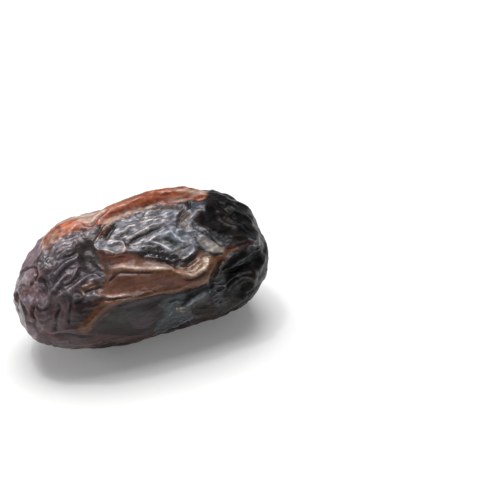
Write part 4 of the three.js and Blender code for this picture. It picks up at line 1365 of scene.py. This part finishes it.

# %% [markdown]
# The skin's colour comes from how it lies. Where it clings to the pulp it is nearly black, where it stands
# off it is amber or rust, and the fine wrinkles carry a grey bloom on their crests. So each zone has three
# colours: one for its skin, one for its crests, where the grey bloom is joined by a painted highlight, and
# one for its creases, which is painted shade. Five numbers follow them: roughness, foil, streaks along the
# fruit, crinkle and coat. Foil is a share of metal, and on the blackest skin it dims what the lamp adds, as
# painted shade does.

# %% Colours of the zones
PAINT = {
    "base": ("281a1a", "4a3a3c", "0c0707", 0.38, 0.0, 0.4, 0.35, 0.08),
    "taut": ("201414", "463634", "100808", 0.42, 0.0, 0.9, 0.40, 0.06),
    "moss": ("2a2823", "56524a", "14120e", 0.42, 0.0, 0.6, 0.40, 0.08),
    "plum": ("34282f", "5c4c56", "140c10", 0.38, 0.0, 0.6, 0.40, 0.10),
    "russet": ("3e2824", "6a4a40", "160a08", 0.38, 0.0, 0.8, 0.40, 0.10),
    "bluish": ("3a3d40", "84888c", "141415", 0.36, 0.1, 0.4, 0.50, 0.15),
    "mauve": ("4b393b", "7a6367", "14070a", 0.36, 0.1, 0.2, 0.15, 0.20),
    # rosy: partly a painted rim light
    "rosy": ("685053", "9a8084", "2a1012", 0.34, 0.1, 0.2, 0.20, 0.28),
    "blush": ("54282a", "74484a", "1c0609", 0.38, 0.05, 0.2, 0.40, 0.20),
    # lilac: painted sheen
    "lilac_sheen": ("7a6870", "b6a6ae", "24121a", 0.36, 0.1, 0.2, 0.30, 0.30),
    "crepe": ("4a3f43", "b8abb0", "1e1417", 0.36, 0.15, 0.3, 0.60, 0.30),
    "hollow": ("3a3230", "58504e", "120b0a", 0.42, 0.1, 0.3, 0.50, 0.15),
    "dimple": ("33272b", "6a5a60", "12080b", 0.42, 0.3, 0.2, 0.40, 0.12),
    # black is partly painted shade, and its foil dims the lamp's reflection on it
    "black": ("040303", "505256", "020202", 0.44, 0.65, 0.2, 0.15, 0.03),
    "umber": ("281912", "56443a", "060302", 0.44, 0.2, 0.4, 0.35, 0.08),
    "mottled": ("180f0b", "5c4030", "060403", 0.42, 0.2, 0.2, 0.50, 0.06),
    "knobbly": ("1e1c20", "74727a", "050405", 0.38, 0.3, 0.3, 0.80, 0.20),
    # painted highlight on the crests of a few tip folds
    "painted_line_highlights": ("0a0b0c", "a8b0b4", "020202", 0.36, 0.3, 0.2, 0.40, 0.20),
    # painted shadow at the top of the tip end; its foil dims the lamp there too
    "painted_top_shadow": ("160c0f", "4c3e42", "040203", 0.42, 0.5, 0.3, 0.40, 0.05),
    "wine": ("26110f", "4e342f", "0a0403", 0.38, 0.1, 0.5, 0.40, 0.10),
    "fleck": ("5c564e", "e4d8c0", "1a1612", 0.32, 0.1, 0.0, 1.00, 0.40),
    "veil": ("383638", "8e8c8e", "0c0a0b", 0.40, 0.2, 0.4, 0.90, 0.20),
    "shoulder": ("756b70", "c0b4b8", "181012", 0.38, 0.25, 0.3, 1.00, 0.35),
    "tan": ("4c342a", "d8b8a4", "140a07", 0.36, 0.1, 0.4, 0.90, 0.35),
    # silver is wax bloom and a painted reflection of the lamp
    "silver": ("7b7980", "dad8dc", "161416", 0.42, 0.2, 0.4, 0.85, 0.30),
    "pit": ("605d5a", "a8a6a2", "0c0c0c", 0.42, 0.2, 0.3, 0.60, 0.10),
    # pearl: painted sheen on folds
    "pearl": ("8c8b94", "e6e6ec", "1c1c20", 0.40, 0.2, 0.3, 0.60, 0.30),
    "spindle": ("5a3e2e", "dcb494", "140a06", 0.34, 0.1, 1.2, 0.70, 0.35),
    "bare": ("50453f", "948880", "1c1412", 0.42, 0.1, 0.4, 0.60, 0.25),
    # dusky: painted shade beside the cross crease
    "dusky": ("3c4048", "7c828a", "08080a", 0.40, 0.2, 0.3, 0.70, 0.20),
    "amber": ("6d483a", "b48c78", "2a140c", 0.34, 0.08, 0.5, 0.20, 0.16),
    # sheen: partly painted sheen
    "sheen": ("704e3e", "bc9882", "3a1e14", 0.38, 0.08, 0.5, 0.35, 0.14),
    "golden": ("644226", "a88256", "2c1a0c", 0.28, 0.1, 0.8, 0.30, 0.30),
    "garnet": ("6a3c30", "9a6a58", "2a120c", 0.36, 0.05, 0.5, 0.20, 0.10),
    # bloom: painted glare on the blister's crest
    "painted_glare": ("8c6858", "d0b2a0", "5a3424", 0.44, 0.05, 0.6, 0.40, 0.08),
    "cleft": ("4c3129", "7a5648", "24120c", 0.40, 0.05, 0.4, 0.30, 0.10),
    # frosted: partly a painted highlight
    "frosted_highlight": ("9c8278", "dccac0", "5e443a", 0.44, 0.1, 0.5, 0.60, 0.12),
    "crackled": ("806452", "dcc8b4", "5a4030", 0.36, 0.1, 0.3, 0.80, 0.35),
    "flap": ("8e8684", "d8ccc6", "1a1412", 0.40, 0.15, 0.6, 0.60, 0.30),
    "flap_end": ("baaaa0", "e8dcd0", "3a2c24", 0.40, 0.1, 0.6, 0.50, 0.30),
    # glinting: painted glints on the crests
    "glinting": ("332c2d", "d8d2d4", "0d0a0a", 0.30, 0.2, 0.2, 1.00, 0.60),
    "streak": ("57331e", "80563a", "2a150b", 0.34, 0.0, 0.6, 0.25, 0.20),
    "rust": ("9e563a", "e6bca6", "481a0c", 0.34, 0.06, 1.7, 0.45, 0.25),
    "ember": ("8f4026", "cc8868", "341008", 0.32, 0.06, 1.2, 0.40, 0.25),
    "fawn": ("957262", "c8ab98", "4a2a1c", 0.36, 0.05, 1.0, 0.35, 0.20),
    "pale": ("b0907f", "e8d4ca", "6a4436", 0.36, 0.05, 0.7, 0.35, 0.35),
    # lip: pale skin, partly a painted highlight
    "lip": ("b09088", "f4dcd4", "4a2c24", 0.32, 0.1, 0.4, 0.60, 0.40),
    "flush": ("865850", "b88c86", "3e1a18", 0.36, 0.05, 0.5, 0.50, 0.30),
    "scar": ("6a4638", "8c6450", "30190f", 0.70, 0.0, 0.0, 0.80, 0.00),
    "point": ("1a120d", "3a2c22", "080504", 0.60, 0.0, 0.0, 0.50, 0.00),
}


def linear(code):
    """A colour as the screen shows it, six hexadecimal digits, turned into the light that it stands for."""
    share = np.array([int(code[i:i + 2], 16) / 255 for i in (0, 2, 4)])
    return np.where(share <= 0.04045, share / 12.92, ((share + 0.055) / 1.055) ** 2.4)


print("colours for", len(PAINT), "zones, such as rust", linear(PAINT["rust"][0]).round(3))

# %% [markdown]
# Crests and creases are found twice, for a painted highlight on the crests and painted shade in the creases:
# the drawn ones by their rise, the fine ones by how far the relief stands above or below its softened self.
# The zones are laid over each other in the order of the table.
# Some of them break up on the hidden side, and the black skin has umber patches. Noise then shifts the
# colours a little, in patches and in fibres along the fruit, and all is stored on the mesh as attributes.

# %% Paint the skin
FINE_CREST_LIGHT, FINE_CREASE_SHADE = 0.55, 0.65
PATCH_STRENGTH = 0.3
STREAK_SHIFT = (0.7, 1.0, 1.15)
HUE_SHIFT = (0.15, 0.0, -0.12)

even = soften_weights(1.0)
ridge = relief - soften(relief, even, 14)
fine_ridge = relief - soften(relief, even, 3) + 0.12 * ridge
# How strongly each drawn crest gets its painted highlight, broken up along it by noise.
bright = 0.35 + 0.65 * smooth(-0.35, 0.3, noise_field(1.3, 73))
# Crests are painted lighter, partly as grey bloom and partly as painted highlight; creases are painted
# darker, as painted shade.
crest_bloom_and_highlight = np.maximum(FINE_CREST_LIGHT * smooth(0.02, 0.08, fine_ridge), bright * smooth(0.14, 0.32, crests))
crease_shade = np.maximum(FINE_CREASE_SHADE * smooth(0.03, 0.1, -fine_ridge), smooth(0.12, 0.32, -creases))
crest_bloom_and_highlight *= 1 - 0.5 * zones["black"] * unseen
crease_shade *= 1 - 0.15 * zones["silver"]

zones["base"] = np.ones(len(relief))
zones["umber"] = zones["black"] * smooth(0.0, 0.4, noise_field(3.2, 81)) * (0.35 + 0.65 * unseen)
broken = smooth(0.2, 0.7, unseen) * smooth(-0.3, 0.05, noise_field(2.4, 82, 2.0))
for name in ("fawn", "pale"):
    zones[name] = zones[name] * (1 - broken)

layers = [np.zeros((len(relief), 3)) for _ in range(3)]
shares = np.zeros((5, len(relief)))
for name, paint in PAINT.items():
    layers = [mix(layer, linear(code)[None, :], zones[name]) for layer, code in zip(layers, paint[:3])]
    shares = shares + (np.array(paint[3:])[:, None] - shares) * zones[name]
gloss, foil, streaked, crinkle, coat = shares

# Mix in the crest colour (bloom and painted highlight) and the crease colour (painted shade).
tint = mix(mix(layers[0], layers[1], crest_bloom_and_highlight), layers[2], crease_shade)
patches = 0.6 * noise_field(2.6, 7, 1.6) + 0.4 * noise_field(0.9, 8, 1.6)
fibres = 0.6 * noise_field(0.6, 51, 7.0) + 0.4 * noise_field(0.35, 52, 6.0)
hue_drift = 0.6 * noise_field(3.5, 61, 1.5) + 0.4 * noise_field(1.3, 62, 1.5)
tint *= (1 + PATCH_STRENGTH * patches)[:, None] * (1 + hue_drift[:, None] * np.array(HUE_SHIFT))
tint *= 1 + streaked[:, None] * fibres[:, None] * np.array(STREAK_SHIFT)


def write_attribute(name, kind, field, values):
    attribute = skin.data.attributes.new(name, kind, "POINT")
    attribute.data.foreach_set(field, np.ascontiguousarray(values).ravel())


write_attribute("tint", "FLOAT_COLOR", "color", np.hstack([tint, np.ones((len(tint), 1))]))
for name, values in (("gloss", gloss), ("foil", foil), ("crinkle", crinkle), ("coat", coat)):
    write_attribute(name, "FLOAT", "value", values)
print("mean colour", [round(c, 3) for c in tint.mean(0)])

# %% [markdown]
# One material covers the whole skin and reads the five attributes: tint, gloss, foil, crinkle and coat.
# Helpers add its nodes. Noise reads the object's own coordinates, so that it stays with the fruit.

# %% Nodes of the skin material
skin_look = bpy.data.materials.new("date skin")
skin_look.use_nodes = True
nodes, links = skin_look.node_tree.nodes, skin_look.node_tree.links
shader = nodes["Principled BSDF"]


def add_node(kind, **settings):
    node = nodes.new(kind)
    for key, value in settings.items():
        if key in node.inputs:
            node.inputs[key].default_value = value
        else:
            setattr(node, key, value)
    return node


def add_noise(size, detail, stretch, **settings):
    """Noise with features of that size in millimetres, drawn out along the fruit."""
    place = add_node("ShaderNodeTexCoord")
    scale = add_node("ShaderNodeMapping", Scale=(1 / stretch, 1, 1))
    texture = add_node("ShaderNodeTexNoise", **settings, Scale=1 / (size * MM), Detail=detail)
    links.new(place.outputs["Object"], scale.inputs["Vector"])
    links.new(scale.outputs["Vector"], texture.inputs["Vector"])
    return texture.outputs["Fac"]


def remap(value, old_range, new_range):
    node = add_node("ShaderNodeMapRange")
    for key, number in zip(("From Min", "From Max", "To Min", "To Max"), (*old_range, *new_range)):
        node.inputs[key].default_value = number
    links.new(value, node.inputs["Value"])
    return node.outputs["Result"]


def multiply(first, second):
    node = add_node("ShaderNodeMath", operation="MULTIPLY")
    links.new(first, node.inputs[0])
    links.new(second, node.inputs[1])
    return node.outputs["Value"]


def read_attribute(name, output="Fac"):
    return add_node("ShaderNodeAttribute", attribute_name=name).outputs[output]


print("skin material starts with", len(nodes), "nodes")

# %% [markdown]
# Noise adds specks and a fine lengthwise grain to the tint, and makes the gloss uneven. Ridged noise makes
# the crinkles, which are too fine for the mesh. It raises them, and as far as their attribute asks it paints
# them lighter on their ridges and darker between them, as painted highlight and painted shade.
# A thin clear coat gives the sharp glints of a sugary skin, and a little light scatters under the surface.

# %% Skin material
BUMP_HEIGHT = 0.06 * MM
SKIN_LOOK = {
    "IOR": 1.37, "Coat Roughness": 0.12, "Subsurface Weight": 0.12,
    "Subsurface Radius": (1.0, 0.35, 0.2), "Subsurface Scale": 0.6 * MM,
}

crinkle = read_attribute("crinkle")
crinkle_ridges = add_noise(size=1.1, detail=3.0, stretch=1.8, noise_type="RIDGED_MULTIFRACTAL", Offset=1.0)
# Painted highlight and shade of the crinkles: the tint is lightened on the ridges of the ridged noise and
# darkened between them.
crinkle_light_and_shade = add_node("ShaderNodeMix", data_type="FLOAT", A=1.0)
links.new(crinkle, crinkle_light_and_shade.inputs["Factor"])
links.new(remap(crinkle_ridges, (0.4, 1.5), (0.5, 1.6)), crinkle_light_and_shade.inputs["B"])
specks = remap(add_noise(size=0.35, detail=3.0, stretch=1.5), (0.3, 0.7), (0.8, 1.2))
brighten = add_node("ShaderNodeVectorMath", operation="SCALE")
links.new(read_attribute("tint", "Color"), brighten.inputs[0])
links.new(multiply(specks, crinkle_light_and_shade.outputs["Result"]), brighten.inputs["Scale"])
links.new(brighten.outputs["Vector"], shader.inputs["Base Color"])

unevenness = remap(add_noise(size=0.8, detail=2.0, stretch=1.5), (0.3, 0.7), (0.8, 1.25))
links.new(multiply(read_attribute("gloss"), unevenness), shader.inputs["Roughness"])
links.new(read_attribute("foil"), shader.inputs["Metallic"])
links.new(read_attribute("coat"), shader.inputs["Coat Weight"])

grain_bump = add_node("ShaderNodeBump", Strength=0.6, Distance=BUMP_HEIGHT)
links.new(add_noise(size=0.4, detail=4.0, stretch=2.5), grain_bump.inputs["Height"])
crinkle_bump = add_node("ShaderNodeBump", Distance=BUMP_HEIGHT)
links.new(crinkle, crinkle_bump.inputs["Strength"])
links.new(crinkle_ridges, crinkle_bump.inputs["Height"])
links.new(grain_bump.outputs["Normal"], crinkle_bump.inputs["Normal"])
for socket in ("Normal", "Coat Normal"):
    links.new(crinkle_bump.outputs["Normal"], shader.inputs[socket])

set_inputs(shader, SKIN_LOOK)
skin.data.materials.append(skin_look)
print("skin material:", len(nodes), "nodes")

# %% [markdown]
# The guide has done its work and goes. The skin moves with the fruit's only body and stands for the plain
# fruit, which is hidden. The skin must not outgrow the body.

# %% Finish
for polygon in skin.data.polygons:
    polygon.use_smooth = True
bpy.data.objects.remove(guide)
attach(skin, "root")
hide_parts("date")
